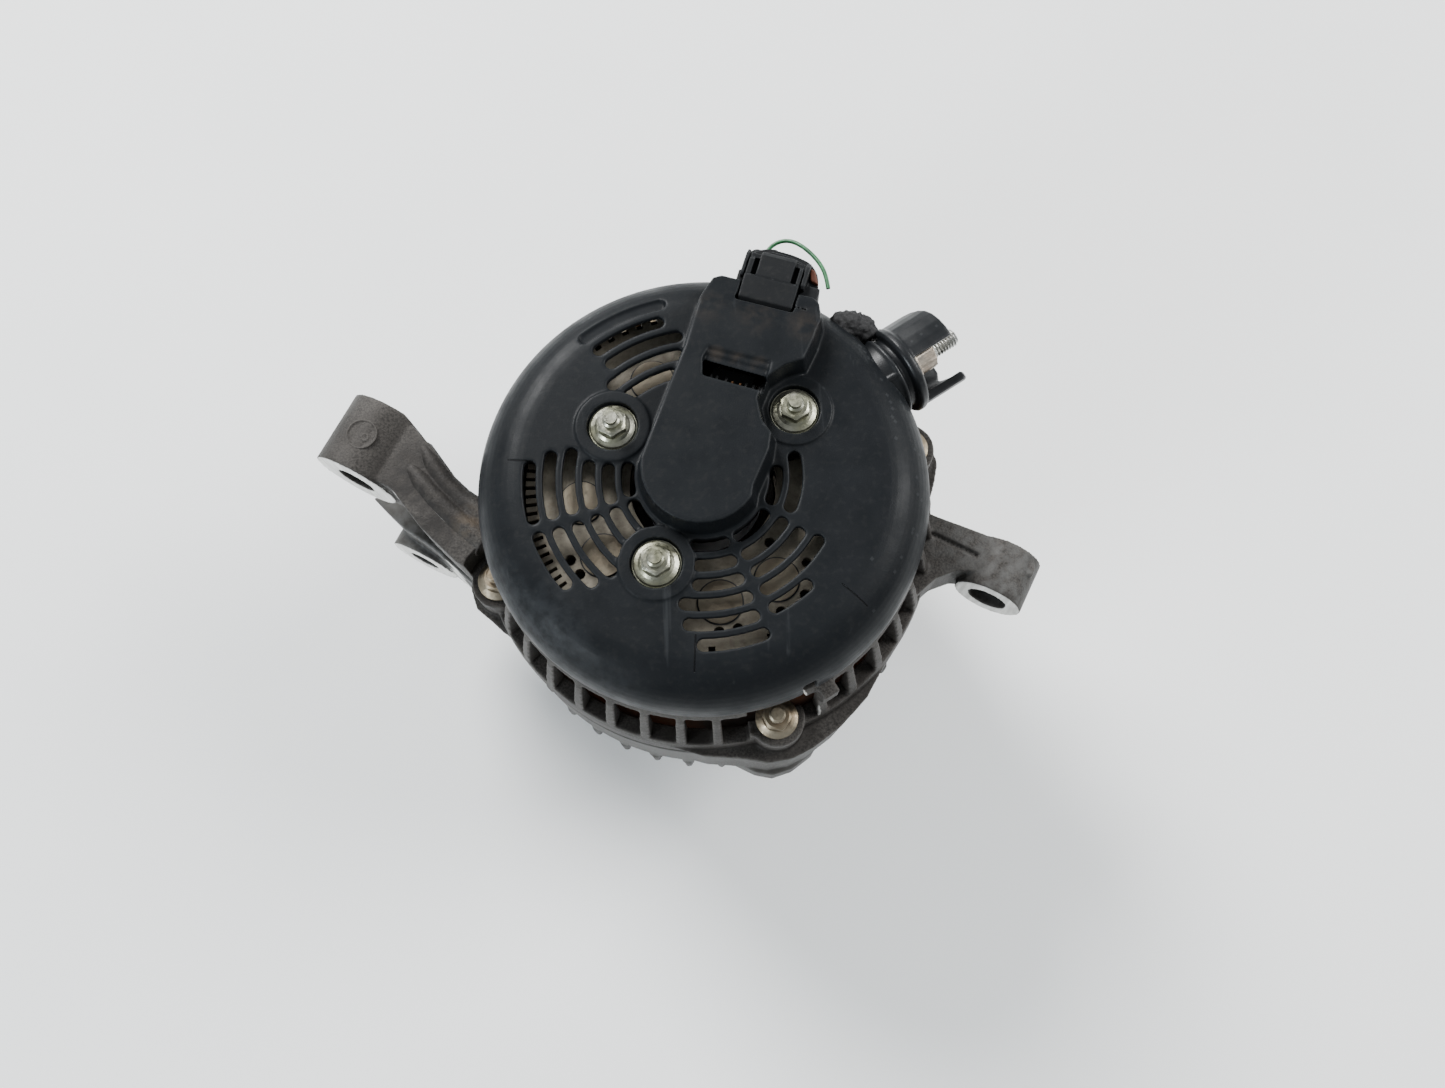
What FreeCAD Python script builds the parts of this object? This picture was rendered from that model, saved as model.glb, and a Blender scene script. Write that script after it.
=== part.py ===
import FreeCAD, Part
import math
import os
import Sketcher
from FreeCAD import Placement, Rotation, Vector

# Car alternator, standing on its pulley with the plastic rear cover on top.
# Frame: Z runs along the shaft and points out of the rear cover, Z = 0 is the
# front face of the pulley, X and Y are square to the shaft.  Millimetres.
# Angles are in degrees, counted from X towards Y.

doc = FreeCAD.newDocument("Alternator")

SIZES = {
    # rear cover
    "cover_top": 148.0, "cover_rim": 67.0, "cover_foot": 129.6, "cover_wall": 2.2,
    "cover_flat": 56.0, "slot_first": 21.24, "slot_pitch": 5.68, "slot_wide": 3.7,
    "well_radius": 7.4, "well_depth": 3.2, "bridge_rise": 8.5, "bridge_round": 17.5,
    # castings
    "case_radius": 72.4, "case_bore": 66.6, "core_seat": 70.05, "front_low": 42.0,
    "split_low": 86.0, "split_high": 90.0, "rear_roof": 119.0, "rear_high": 129.0,
    "bolt_circle": 68.0, "bolt_radius": 2.5, "bolt_hole": 2.8, "boss_radius": 8.6,
    "bolt_seat": 110.0, "bolt_top": 118.0,
    # mounting ears
    "ear_bore_big": 6.1, "ear_bore_low": 5.25, "ear_big": 14.0, "ear_low": 12.5,
    "ear_right": 11.0, "ear_big_high": 110.0, "ear_low_high": 56.0, "ear_right_high": 101.0,
    "ear_big_long": 24.0, "ear_low_long": 24.0, "ear_right_long": 17.0,
    # stator and rotor
    "core_radius": 69.95, "core_bore": 51.0, "core_low": 74.5, "core_high": 101.5,
    "claw_radius": 50.4, "claw_low": 68.5, "claw_high": 107.5, "shaft_radius": 8.5,
    "slip_radius": 7.5, "fan_radius": 46.0, "field_radius": 34.0,
    # bearings
    "front_race": 23.5, "front_bearing_low": 44.0, "front_bearing_wide": 14.0,
    "rear_race": 17.5, "rear_bearing_low": 117.0, "rear_bearing_wide": 11.0,
    "rear_journal": 7.5, "fit_gap": 0.05,
    # pulley
    "pulley_radius": 29.0, "pulley_long": 34.0, "groove_pitch": 3.56, "groove_deep": 2.9,
    # rectifier, terminal, plug
    "plus_plate": 136.0, "plate_thick": 3.2, "minus_plate": 124.0, "diode_radius": 6.3,
    "terminal_high": 132.0, "terminal_ring": 14.0, "terminal_post": 4.0,
    "plug_wide": 22.6, "plug_high": 17.0, "wire_radius": 0.65,
    # cover nuts
    "nut_across": 8.0, "nut_flange": 6.7, "stud_radius": 2.5,
    # brushes
    "brush_wide": 4.5, "brush_thick": 6.5, "brush_long": 16.0,
}

sheet = doc.addObject("Spreadsheet::Sheet", "Sizes")
for row, (alias, value) in enumerate(SIZES.items(), start=1):
    sheet.set("A%d" % row, alias)
    sheet.set("B%d" % row, str(value))
    sheet.setAlias("B%d" % row, alias)
doc.recompute()


class Size(float):
    """A length that also carries the cell formula it comes from."""

    def __new__(cls, value, formula):
        self = float.__new__(cls, value)
        self.formula = formula
        return self

    def __add__(self, other):
        return Size(float(self) + float(other), "(%s + %s)" % (formula(self), formula(other)))

    def __sub__(self, other):
        return Size(float(self) - float(other), "(%s - %s)" % (formula(self), formula(other)))

    def __mul__(self, other):
        return Size(float(self) * float(other), "(%s * %s)" % (formula(self), formula(other)))

    def __truediv__(self, other):
        return Size(float(self) / float(other), "(%s / %s)" % (formula(self), formula(other)))

    __radd__ = __add__
    __rmul__ = __mul__


def formula(length):
    """Text of a length for an expression."""
    if isinstance(length, Size):
        return length.formula
    return "%.6f" % length if length >= 0 else "(0 - %.6f)" % -length


def cell(alias):
    return Size(SIZES[alias], "Sizes." + alias)


def bind(obj, prop, length):
    """Give a property its value, tied to the sheet where the length has a cell."""
    if isinstance(length, Size):
        obj.setExpression(prop, length.formula)
    elif "." not in prop:
        setattr(obj, prop, length)


def turned(x, y, angle):
    """Point (x, y) turned about Z by an angle."""
    a = math.radians(angle)
    return x * math.cos(a) - y * math.sin(a), x * math.sin(a) + y * math.cos(a)


def place(obj, x, y, z, axis=(0, 0, 1), spin=0.0):
    """Stand an object at a point with its own Z along an axis."""
    swing = Rotation(Vector(0, 0, 1), Vector(*axis))
    obj.Placement = Placement(Vector(float(x), float(y), float(z)),
                              swing.multiply(Rotation(Vector(0, 0, 1), spin)))
    for name, length in (("x", x), ("y", y), ("z", z)):
        if isinstance(length, Size):
            obj.setExpression("Placement.Base." + name, length.formula)
    return obj


# ---------------------------------------------------------------- primitives

def cylinder(radius, height, at=(0, 0, 0), axis=(0, 0, 1), sweep=360.0, spin=0.0):
    obj = doc.addObject("Part::Cylinder", "Cylinder")
    bind(obj, "Radius", radius)
    bind(obj, "Height", height)
    obj.Angle = sweep
    return place(obj, *at, axis=axis, spin=spin)


def cone(low, high, height, at=(0, 0, 0), axis=(0, 0, 1)):
    obj = doc.addObject("Part::Cone", "Cone")
    bind(obj, "Radius1", low)
    bind(obj, "Radius2", high)
    bind(obj, "Height", height)
    return place(obj, *at, axis=axis)


def box(length, width, height, at=(0, 0, 0), spin=0.0):
    """Box centred on its place in X and Y, resting on it in Z, turned about Z."""
    obj = doc.addObject("Part::Box", "Box")
    bind(obj, "Length", length)
    bind(obj, "Width", width)
    bind(obj, "Height", height)
    dx, dy = turned(float(length) / 2, float(width) / 2, spin)
    place(obj, at[0] - dx, at[1] - dy, at[2], spin=spin)
    return obj


def prism(across, height, at=(0, 0, 0), spin=0.0, axis=(0, 0, 1)):
    """Hexagon by its width across flats."""
    obj = doc.addObject("Part::Prism", "Hexagon")
    obj.Polygon = 6
    bind(obj, "Circumradius", across * (1 / math.sqrt(3)))
    bind(obj, "Height", height)
    return place(obj, *at, axis=axis, spin=spin)


def ball(radius, at):
    obj = doc.addObject("Part::Sphere", "Ball")
    bind(obj, "Radius", radius)
    return place(obj, *at)


def ring_bar(major, minor, at, axis=(0, 0, 1)):
    obj = doc.addObject("Part::Torus", "Torus")
    bind(obj, "Radius1", major)
    bind(obj, "Radius2", minor)
    return place(obj, *at, axis=axis)


def fuse(*pieces):
    obj = doc.addObject("Part::MultiFuse", "Fusion")
    obj.Shapes = list(pieces)
    return obj


def cut(base, *tools):
    """Base less every tool."""
    obj = doc.addObject("Part::Cut", "Cut")
    obj.Base = base
    obj.Tool = tools[0] if len(tools) == 1 else fuse(*tools)
    return obj


def tube(outer, inner, height, at=(0, 0, 0), axis=(0, 0, 1)):
    return cut(cylinder(outer, height, at, axis), cylinder(inner, height, at, axis))


def group(*pieces):
    """Separate solids kept together, for fasteners of one kind."""
    obj = doc.addObject("Part::Compound", "Group")
    obj.Links = list(pieces)
    return obj


def around(count, make, first=0.0):
    """Call make(angle) for equal steps of a full turn."""
    return [make(first + 360.0 * i / count) for i in range(count)]


# ------------------------------------------------------------ sketched bodies

def plane(body, role):
    return [f for f in body.Origin.OriginFeatures if f.Role == role][0]


def new_sketch(body, role="XY_Plane", lift=0.0, turn=0.0):
    """Sketch on an origin plane; lift raises it, turn swings it about Z."""
    sketch = body.newObject("Sketcher::SketchObject", "Outline")
    sketch.AttachmentSupport = [(plane(body, role), "")]
    sketch.MapMode = "FlatFace"
    if role == "XY_Plane":
        sketch.AttachmentOffset = Placement(Vector(0, 0, float(lift)), Rotation(Vector(0, 0, 1), turn))
        if isinstance(lift, Size):
            sketch.setExpression("AttachmentOffset.Base.z", lift.formula)
    else:
        sketch.AttachmentOffset = Placement(Vector(0, 0, 0), Rotation(Vector(0, 1, 0), turn))
    return sketch


def hold(sketch, geo, end, x, y):
    """Pin a point of a sketch to its two coordinates."""
    for kind, axis, length in (("DistanceX", -2, x), ("DistanceY", -1, y)):
        if abs(float(length)) < 1e-9:
            sketch.addConstraint(Sketcher.Constraint("PointOnObject", geo, end, axis))
            continue
        index = sketch.addConstraint(Sketcher.Constraint(kind, -1, 1, geo, end, float(length)))
        if isinstance(length, Size):
            sketch.setExpression("Constraints[%d]" % index, length.formula)


def polygon(sketch, points):
    """Closed straight-sided outline, each corner held by its coordinates."""
    first = sketch.GeometryCount
    count = len(points)
    flat = [Vector(float(x), float(y), 0) for x, y in points]
    for i in range(count):
        sketch.addGeometry(Part.LineSegment(flat[i], flat[(i + 1) % count]), False)
    for i in range(count):
        following = first + (i + 1) % count
        sketch.addConstraint(Sketcher.Constraint("Coincident", first + i, 2, following, 1))
    for i, (x, y) in enumerate(points):
        hold(sketch, first + i, 1, x, y)


def circle(sketch, x, y, radius):
    geo = sketch.addGeometry(Part.Circle(Vector(float(x), float(y), 0), Vector(0, 0, 1), float(radius)))
    index = sketch.addConstraint(Sketcher.Constraint("Radius", geo, float(radius)))
    if isinstance(radius, Size):
        sketch.setExpression("Constraints[%d]" % index, radius.formula)
    hold(sketch, geo, 3, x, y)


def new_body():
    return doc.addObject("PartDesign::Body", "Body")


def revolve(profile, body=None, groove=False):
    """Turn a profile of (radius, height) corners about Z."""
    body = body or new_body()
    sketch = new_sketch(body, "XZ_Plane")
    polygon(sketch, profile)
    kind = "Groove" if groove else "Revolution"
    feature = body.newObject("PartDesign::" + kind, kind)
    feature.Profile = sketch
    feature.ReferenceAxis = (sketch, ["V_Axis"])
    feature.Angle = 360.0
    sketch.Visibility = False
    doc.recompute()
    return body


def pad(points, low, height, body=None, taper=0.0):
    """Raise an outline drawn in plan."""
    body = body or new_body()
    sketch = new_sketch(body, "XY_Plane", low)
    polygon(sketch, points)
    feature = body.newObject("PartDesign::Pad", "Pad")
    feature.Profile = sketch
    bind(feature, "Length", height)
    feature.TaperAngle = taper
    doc.recompute()
    return body


def pocket(body, sketch, depth, upward=True, middle=False):
    """Cut a sketch away through a depth."""
    feature = body.newObject("PartDesign::Pocket", "Pocket")
    feature.Profile = sketch
    bind(feature, "Length", depth)
    feature.Reversed = upward
    if middle:
        feature.Midplane = True
    doc.recompute()
    return feature


def repeat(body, feature, count, span=360.0):
    """Repeat a feature about Z."""
    pattern = body.newObject("PartDesign::PolarPattern", "Pattern")
    pattern.Originals = [feature]
    pattern.Axis = (plane(body, "Z_Axis"), [""])
    pattern.Angle = span
    pattern.Occurrences = count
    body.Tip = pattern
    doc.recompute()
    return pattern


# Directions used by several pieces.
BOLT_ANGLES = [15.3 + 90.0 * i for i in range(4)]
EAR_AXIS = (math.cos(math.radians(60)), math.sin(math.radians(60)), 0)
TERMINAL_TURN = 30.0
PLUG_TURN = 71.0
PLUG_SIDE = -5.5
LEVER_SIDE = 1.7
NUT_SPOTS = [(-25.1, 16.2), (-14.1, -25.6), (27.8, 17.9)]
nodes = {}


def keep(label, obj):
    """Name a finished sub-part."""
    obj.Label = label
    nodes[label] = obj
    return obj


# -------------------------------------------------------------------- rear cover

# Air slots: each row is a ring of arcs, (first angle, last angle).
SLOT_ROWS = [
    [(171, 190), (202.5, 223), (262, 284), (297, 322), (336, 359)],
    [(173, 192), (202, 220), (265.5, 284.5), (295.5, 324), (335.5, 367.5)],
    [(172, 192), (201.5, 221), (265.5, 285), (295.5, 324), (103, 130)],
    [(167, 192), (201, 225), (260, 286), (295, 325.5), (98, 130)],
    [(169.5, 192), (200, 222.5), (262.5, 286), (294.5, 308.5), (97, 124.5)],
    [(174, 192), (199, 217), (267.5, 287), (102.5, 125)],
    [(100.5, 126)],
]

# Plan of the raised bridge over the regulator, corner by corner.
BRIDGE_FRONT = [(-10.4, 24.0), (-4.6, 37.8), (-0.9, 48.8), (0.8, 53.4), (3.0, 56.8), (5.4, 60.6),
                (9.1, 61.7), (36.4, 52.3), (38.6, 49.6), (38.8, 42.6), (36.3, 35.8), (32.4, 28.6),
                (26.3, 26.9),
                (21.6, 24.0), (19.0, 18.6), (19.7, 13.0), (22.4, 8.6), (21.2, 2.6), (16.2, -7.6)]
BRIDGE_INNER = [(-7.0, 23.0), (1.6, 44.0), (5.6, 51.6), (8.6, 54.6), (33.0, 46.8), (34.2, 42.0),
                (29.4, 31.0), (24.4, 29.2), (18.6, 25.4), (16.0, 18.8), (16.8, 11.4), (18.4, 4.0),
                (13.6, -6.0)]


def slot_row(body, index, spans):
    """One ring of round-ended air slots cut through the cover's face."""
    sketch = new_sketch(body, "XY_Plane", cell("cover_top") + 1)
    radius = cell("slot_first") + cell("slot_pitch") * index
    outer = radius + cell("slot_wide") / 2
    inner = radius - cell("slot_wide") / 2
    for low, high in spans:
        a0, a1 = math.radians(low), math.radians(high)
        first = sketch.GeometryCount
        up = Vector(0, 0, 1)
        for reach in (outer, inner):
            sketch.addGeometry(Part.ArcOfCircle(Part.Circle(Vector(0, 0, 0), up, float(reach)), a0, a1))
        for angle, start in ((a1, a1), (a0, a0 + math.pi)):
            middle = Vector(float(radius) * math.cos(angle), float(radius) * math.sin(angle), 0)
            half = float(cell("slot_wide")) / 2
            sketch.addGeometry(Part.ArcOfCircle(Part.Circle(middle, up, half), start, start + math.pi))
        for geo, reach in ((first, outer), (first + 1, inner)):
            sketch.addConstraint(Sketcher.Constraint("Coincident", geo, 3, -1, 1))
            number = sketch.addConstraint(Sketcher.Constraint("Radius", geo, float(reach)))
            sketch.setExpression("Constraints[%d]" % number, reach.formula)
        for geo, end, cap, cap_end in ((0, 2, 2, 1), (1, 2, 2, 2), (1, 1, 3, 1), (0, 1, 3, 2)):
            sketch.addConstraint(Sketcher.Constraint("Tangent", first + geo, end, first + cap, cap_end))
        for cap, angle in ((2, a1), (3, a0)):
            sideways = abs(math.sin(angle)) > abs(math.cos(angle))
            kind, share = ("DistanceX", math.cos(angle)) if sideways else ("DistanceY", math.sin(angle))
            if abs(share) < 1e-6:
                continue
            place_at = radius * share
            number = sketch.addConstraint(
                Sketcher.Constraint(kind, -1, 1, first + cap, 3, float(place_at)))
            sketch.setExpression("Constraints[%d]" % number, place_at.formula)
    # the last row is a blind groove
    deep = cell("cover_wall") + (3 if index < len(SLOT_ROWS) - 1 else 0.5)
    return pocket(body, sketch, deep, upward=False)


def rear_cover():
    top, wall, rim, foot = cell("cover_top"), cell("cover_wall"), cell("cover_rim"), cell("cover_foot")
    flat = cell("cover_flat")
    shoulder = []
    for step in range(0, 13):
        angle = math.radians(7.5 * step)
        shoulder.append((rim - 15.0 * (1 - math.cos(angle)), top - 15.0 * (1 - math.sin(angle))))
    body = revolve([(0, top - wall), (flat - 2.0, top - wall), (flat, top - wall - 0.4),
                    (flat + 2.0, top - 3.6), (flat + 4.0, top - 5.3), (flat + 5.8, top - 7.5),
                    (rim - 4.0, foot + 8.2), (rim - 3.1, foot + 5.0), (rim - 2.6, foot + 2.4),
                    (rim - 2.6, foot), (rim, foot)] + shoulder + [(0, top)])
    # the round end of the bridge is centred on the shaft
    bend = float(cell("bridge_round")) + 1.6
    round_end = [turned(bend, 0, angle) for angle in range(-36, -204, -12)]
    pad(BRIDGE_FRONT + round_end, top - 6.0, cell("bridge_rise") + 6.0, body, taper=-8.0)
    bay = bend - 4.2
    sketch = new_sketch(body, "XY_Plane", top - 8.0)
    polygon(sketch, BRIDGE_INNER + [turned(bay, 0, angle) for angle in range(-45, -200, -15)])
    pocket(body, sketch, cell("bridge_rise") + 6.0)
    # the outer stretch of the bridge falls away towards the plug
    sketch = new_sketch(body, "XZ_Plane", turn=PLUG_TURN)
    polygon(sketch, [(48.0, top + 8.6), (64.0, top + 3.8), (64.0, top + 12.0), (48.0, top + 12.0)])
    pocket(body, sketch, 70.0, middle=True)
    # window in the bridge, over the regulator
    sketch = new_sketch(body, "XY_Plane", top + 12.0)
    polygon(sketch, [(2.1, 32.3), (1.8, 27.0), (18.3, 21.0), (20.2, 25.6)])
    pocket(body, sketch, 9.0, upward=False)
    # sunk step along the window's outer side
    for depth, back in ((4.3, [(4.1, 35.6), (21.5, 29.9)]), (4.8, [(3.2, 34.1), (20.9, 27.9)])):
        sketch = new_sketch(body, "XY_Plane", top + 12.0)
        polygon(sketch, back + [(20.2, 25.6), (2.1, 32.3)])
        pocket(body, sketch, depth, upward=False)
    for index, spans in enumerate(SLOT_ROWS):
        slot_row(body, index, spans)
    # recesses that the three nuts sit in, on pads of their own
    sketch = new_sketch(body, "XY_Plane", top + 1.0)
    for x, y in NUT_SPOTS:
        circle(sketch, x, y, cell("stud_radius") + 0.4)
    pocket(body, sketch, 12.0, upward=False)
    wells = [cylinder(cell("well_radius"), 12.0, (x, y, top - cell("well_depth") + 1.6))
             for x, y in NUT_SPOTS]
    pads = [tube(cell("well_radius") + 1.2, cell("stud_radius") + 0.4, cell("well_depth") + 1.0,
                 (x, y, top - cell("well_depth") - 0.9)) for x, y in NUT_SPOTS]
    pads += [tube(10.8, cell("well_radius") - 1.0, 2.0, (x, y, top - 1.4)) for x, y in NUT_SPOTS]
    shell = cut(fuse(body, *pads), *wells)
    # mouths for the output terminal and for the plug socket, and the rim notch
    ux, uy = turned(1, 0, TERMINAL_TURN)
    mouth = cylinder(10.4, 16.0, (58.0 * ux, 58.0 * uy, cell("terminal_high")), (ux, uy, 0))
    px, py = turned(1, 0, PLUG_TURN)
    side = turned(0, PLUG_SIDE, PLUG_TURN)
    wide = cell("plug_wide") + 3.2
    socket = box(16.0, wide, 21.8, (60.2 * px + side[0], 60.2 * py + side[1], top - 19.0), spin=PLUG_TURN)
    side = turned(0, PLUG_SIDE + LEVER_SIDE, PLUG_TURN)
    lever = box(16.0, 17.4, 12.0, (60.4 * px + side[0], 60.4 * py + side[1], top - 1.0), spin=PLUG_TURN)
    notch = turned(66.5, 0, -66.0)
    nick = box(5.5, 4.2, 9.0, (notch[0], notch[1], foot - 1.0), spin=-66.0)
    keep("rear_cover", cut(shell, mouth, socket, lever, nick))


# ------------------------------------------------------------------ cover nuts

def cover_fasteners():
    seat = cell("cover_top") - cell("well_depth") + 1.6
    nuts, studs = [], []
    for x, y in NUT_SPOTS:
        blank = fuse(cone(cell("nut_flange"), cell("nut_flange") - 0.9, 1.5, (x, y, seat)),
                     cone(cell("nut_flange") - 0.9, cell("nut_across") / 2, 0.9, (x, y, seat + 1.5)),
                     prism(cell("nut_across"), 5.4, (x, y, seat), spin=30.0))
        nuts.append(cut(blank, cylinder(cell("stud_radius") + 0.05, 8.0, (x, y, seat - 1.0))))
        low = cell("minus_plate") - 2.0
        studs.append(fuse(cylinder(cell("stud_radius"), seat + 6.4 - low, (x, y, low)),
                          cone(cell("stud_radius"), 1.9, 0.5, (x, y, seat + 6.4)),
                          cylinder(1.9, 1.6, (x, y, seat + 6.8))))
    keep("cover_nuts", group(*nuts))
    keep("rectifier_studs", group(*studs))


# ------------------------------------------------------------------- rectifier

PLUS_DIODES = [112.0, 186.0, 214.0, 275.0, 303.0, 347.0]
MINUS_DIODES = [168.0, 197.0, 225.0, 260.0, 318.0, 5.0]


def sector(outer, inner, low, high, at, height):
    """Flat piece of a ring between two angles."""
    sweep = high - low
    return cut(cylinder(outer, height, (0, 0, at), sweep=sweep, spin=low),
               cylinder(inner, height, (0, 0, at)))


def rectifier():
    plus, minus, thick = cell("plus_plate"), cell("minus_plate"), cell("plate_thick")
    gap = cell("fit_gap")
    stud_holes = [cylinder(cell("stud_radius") + 0.3, 30.0, (x, y, minus - 5)) for x, y in NUT_SPOTS]
    # upper heat sink, comb-cut on its rim
    blank = fuse(sector(52.0, 21.5, 90.0, 372.0, plus, thick), sector(57.0, 50.0, 94.0, 134.0, plus, thick))
    teeth = [box(5.0, 2.0, 8.0, turned(56.0, 0, angle) + (plus - 1.0,), spin=angle)
             for angle in range(98, 132, 5)]
    teeth += [box(5.0, 1.1, 8.0, turned(51.4, 0, angle) + (plus - 1.0,), spin=angle)
              for angle in range(166, 230, 3)]
    for angle in [137, 145, 153, 238, 246, 254, 262, 270, 290, 298, 306, 338, 346, 354, 362]:
        x, y = turned(51.0, 0, angle)
        teeth.append(box(5.0, 2.0, 8.0, (x, y, plus - 1.0), spin=angle))
    seats = []
    for angle in PLUS_DIODES:
        x, y = turned(36.0, 0, angle)
        seats.append(cylinder(cell("diode_radius") + gap, 10.0, (x, y, plus - 3)))
    small = []
    for radius, angle in ((26.5, 314), (38.5, 318), (44.5, 208), (44.5, 214.5), (44.5, 273),
                          (44.5, 280), (44.5, 297), (44.5, 308)):
        x, y = turned(radius, 0, angle)
        small.append(cylinder(1.6, 10.0, (x, y, plus - 3)))
    keep("rectifier_plus_plate", cut(blank, *(teeth + seats + small + stud_holes)))
    # lower heat sink
    blank = sector(55.0, 21.5, 88.0, 374.0, minus, thick)
    seats = []
    for angle in MINUS_DIODES:
        x, y = turned(38.0, 0, angle)
        seats.append(cylinder(cell("diode_radius") + gap, 10.0, (x, y, minus - 3)))
    keep("rectifier_minus_plate", cut(blank, *(seats + stud_holes)))

    def diode(radius, angle, low, up):
        x, y = turned(radius, 0, angle)
        lead = cylinder(0.6, 4.2, (x, y, low + 5.4 if up else low - 4.0))
        return fuse(cylinder(cell("diode_radius"), 4.6, (x, y, low)),
                    cylinder(cell("diode_radius") - 1.4, 1.0, (x, y, low + 4.6 if up else low - 0.8)), lead)

    keep("plus_diodes", group(*[diode(36.0, a, plus - 0.8, False) for a in PLUS_DIODES]))
    keep("minus_diodes", group(*[diode(38.0, a, minus - 1.0, True) for a in MINUS_DIODES]))
    # moulded terminal ring that ties both plates, with stand-offs round the studs
    rail = sector(56.5, 53.0, 92.0, 370.0, minus + thick + 0.1, plus - minus - thick - 0.2)
    posts = [tube(5.4, cell("stud_radius") + 0.3, plus - minus - thick - 0.2,
                  (x, y, minus + thick + 0.1)) for x, y in NUT_SPOTS]
    keep("terminal_ring", group(rail, *posts))


# ------------------------------------------------------------- output terminal

def output_terminal():
    high, ring = cell("terminal_high"), cell("terminal_ring")
    ux, uy = turned(1, 0, TERMINAL_TURN)
    axis = (ux, uy, 0)

    def out(reach, across=0.0, rise=0.0):
        x, y = turned(reach, across, TERMINAL_TURN)
        return (x, y, high + rise)

    collar = fuse(cylinder(10.0, 18.0, out(52.0), axis), cylinder(ring - 1.6, 3.4, out(66.6), axis),
                  cylinder(ring, 2.6, out(70.0), axis))
    # guard round the stud: a hood over it, open on one side, and a longer prong below the opening
    guard = cut(cylinder(ring - 0.6, 15.6, out(72.4), axis), cylinder(ring - 3.4, 22.0, out(72.6), axis),
                box(30.0, 14.0, 40.0, out(87.6, -10.0, 0.0), spin=TERMINAL_TURN),
                box(10.0, 40.0, 30.0, out(91.0, 0.0, -2.0), spin=TERMINAL_TURN),
                box(12.0, 30.0, 19.0, out(88.4, 6.4, -20.0), spin=TERMINAL_TURN))
    bore = cylinder(cell("terminal_post") + 0.05, 60.0, out(40.0), axis)
    keep("terminal_insulator", cut(fuse(collar, guard), bore))
    post = fuse(cylinder(cell("terminal_post"), 35.0, out(48.0), axis),
                cylinder(5.6, 1.6, out(73.0), axis),
                cylinder(3.0, 9.0, out(82.0), axis), cone(3.0, 2.0, 1.2, out(91.0), axis))
    keep("output_stud", post)
    nut = cut(fuse(cylinder(6.8, 1.2, out(74.7), axis),
                   prism(cell("nut_across") + 2.0, 8.0, out(74.8), axis=axis)),
              cylinder(cell("terminal_post") + 0.05, 12.0, out(73.0), axis))
    keep("output_nut", nut)
    # torn rubber sleeve left beside the terminal
    tangent = turned(0, 1, 46.0) + (0,)
    x, y = turned(71.6, -5.0, 46.0)
    wrap = fuse(cylinder(4.4, 10.5, (x, y, high + 4.4), tangent),
                cylinder(3.0, 4.0, (x + tangent[0] * 8.6, y + tangent[1] * 8.6, high + 4.9), tangent))
    keep("rubber_sleeve", wrap)


# ------------------------------------------------------------- plug and socket

def connector():
    """Regulator with its socket, the harness plug in it, latch and cut wires."""
    top, wide, tall = cell("cover_top"), cell("plug_wide"), cell("plug_high")
    low = top - 16.0
    turn = PLUG_TURN
    along = turned(1, 0, turn) + (0,)
    sideways = turned(0, 1, turn) + (0,)

    def spot(reach, across, height):
        """Point by its reach along the plug and its place across it."""
        x, y = turned(reach, across + PLUG_SIDE, turn)
        return (x, y, height)

    body = fuse(box(19.0, 18.8, 7.6, spot(45.6, 1.6, top - 10.4), turn),
                box(8.6, wide, 12.8, spot(52.4, 0, low + 0.4), turn),
                box(4.2, wide, tall, spot(54.6, 0, low + 0.4), turn))
    socket = cut(box(9.0, wide + 2.4, tall + 2.0, spot(60.0, 0, low - 0.6), turn),
                 box(9.2, wide, tall - 0.4, spot(60.2, 0, low + 0.6), turn),
                 box(10.4, 17.4, 6.0, spot(60.0, LEVER_SIDE, low + tall - 1.0), turn))
    pin_sides = (-6, -2, 2, 6)
    pins = [cylinder(0.7, 7.0, spot(56.0, side, low + 8.6), along) for side in pin_sides]
    keep("regulator", fuse(body, socket, *pins))
    fins = [box(1.4, 16.0, 2.8, spot(38.4 + 2.9 * i, 1.4, top - 2.3), turn) for i in range(5)]
    keep("regulator_heat_sink", fuse(box(14.6, 16.0, 0.5, spot(44.2, 1.4, top - 2.75), turn), *fins))
    half = wide / 2 - 0.4
    outline = [(57.4, -1 * float(half)), (68.8, -1 * float(half)), (73.6, -5.6), (75.2, -0.6), (75.2, 6.0),
               (73.0, 9.2), (68.8, float(half)), (57.4, float(half))]
    shell = pad([turned(u, v + PLUG_SIDE, turn) for u, v in outline], low + 1.0, tall - 1.2)
    holes = [cylinder(1.0, 9.0, spot(56.0, side, low + 8.6), along) for side in pin_sides]
    ribs = [box(6.4, 1.0, 1.4, spot(68.0, side + LEVER_SIDE, low + tall - 0.3), turn) for side in (-9.0, 8.8)]
    pivot = cylinder(0.7, 17.0, spot(62.4, LEVER_SIDE - 8.5, low + tall + 0.2), sideways)
    seat = box(2.6, 16.0, 0.5, spot(62.4, LEVER_SIDE, low + tall - 0.6), turn)
    keep("harness_plug", cut(fuse(shell, pivot, seat, *ribs), *holes))
    lever = cut(box(17.6, 16.4, 3.9, spot(61.9, LEVER_SIDE, low + tall + 1.1), turn),
                box(7.2, 1.8, 9.0, spot(64.8, LEVER_SIDE - 6.0, low + tall), turn),
                box(7.2, 1.8, 9.0, spot(64.8, LEVER_SIDE + 6.0, low + tall), turn))
    foot = box(3.4, 9.0, 1.4, spot(62.4, LEVER_SIDE, low + tall + 0.1), turn)
    hinge = cylinder(0.75, 20.0, spot(62.4, LEVER_SIDE - 10.0, low + tall + 0.2), sideways)
    keep("latch_lever", cut(fuse(lever, foot), hinge))
    stubs = [cylinder(1.3, 6.2, spot(70.8, side, low + 8.0), along) for side in (-3.2, 3.6, 9.4)]
    keep("wire_stubs", group(*stubs))


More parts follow.
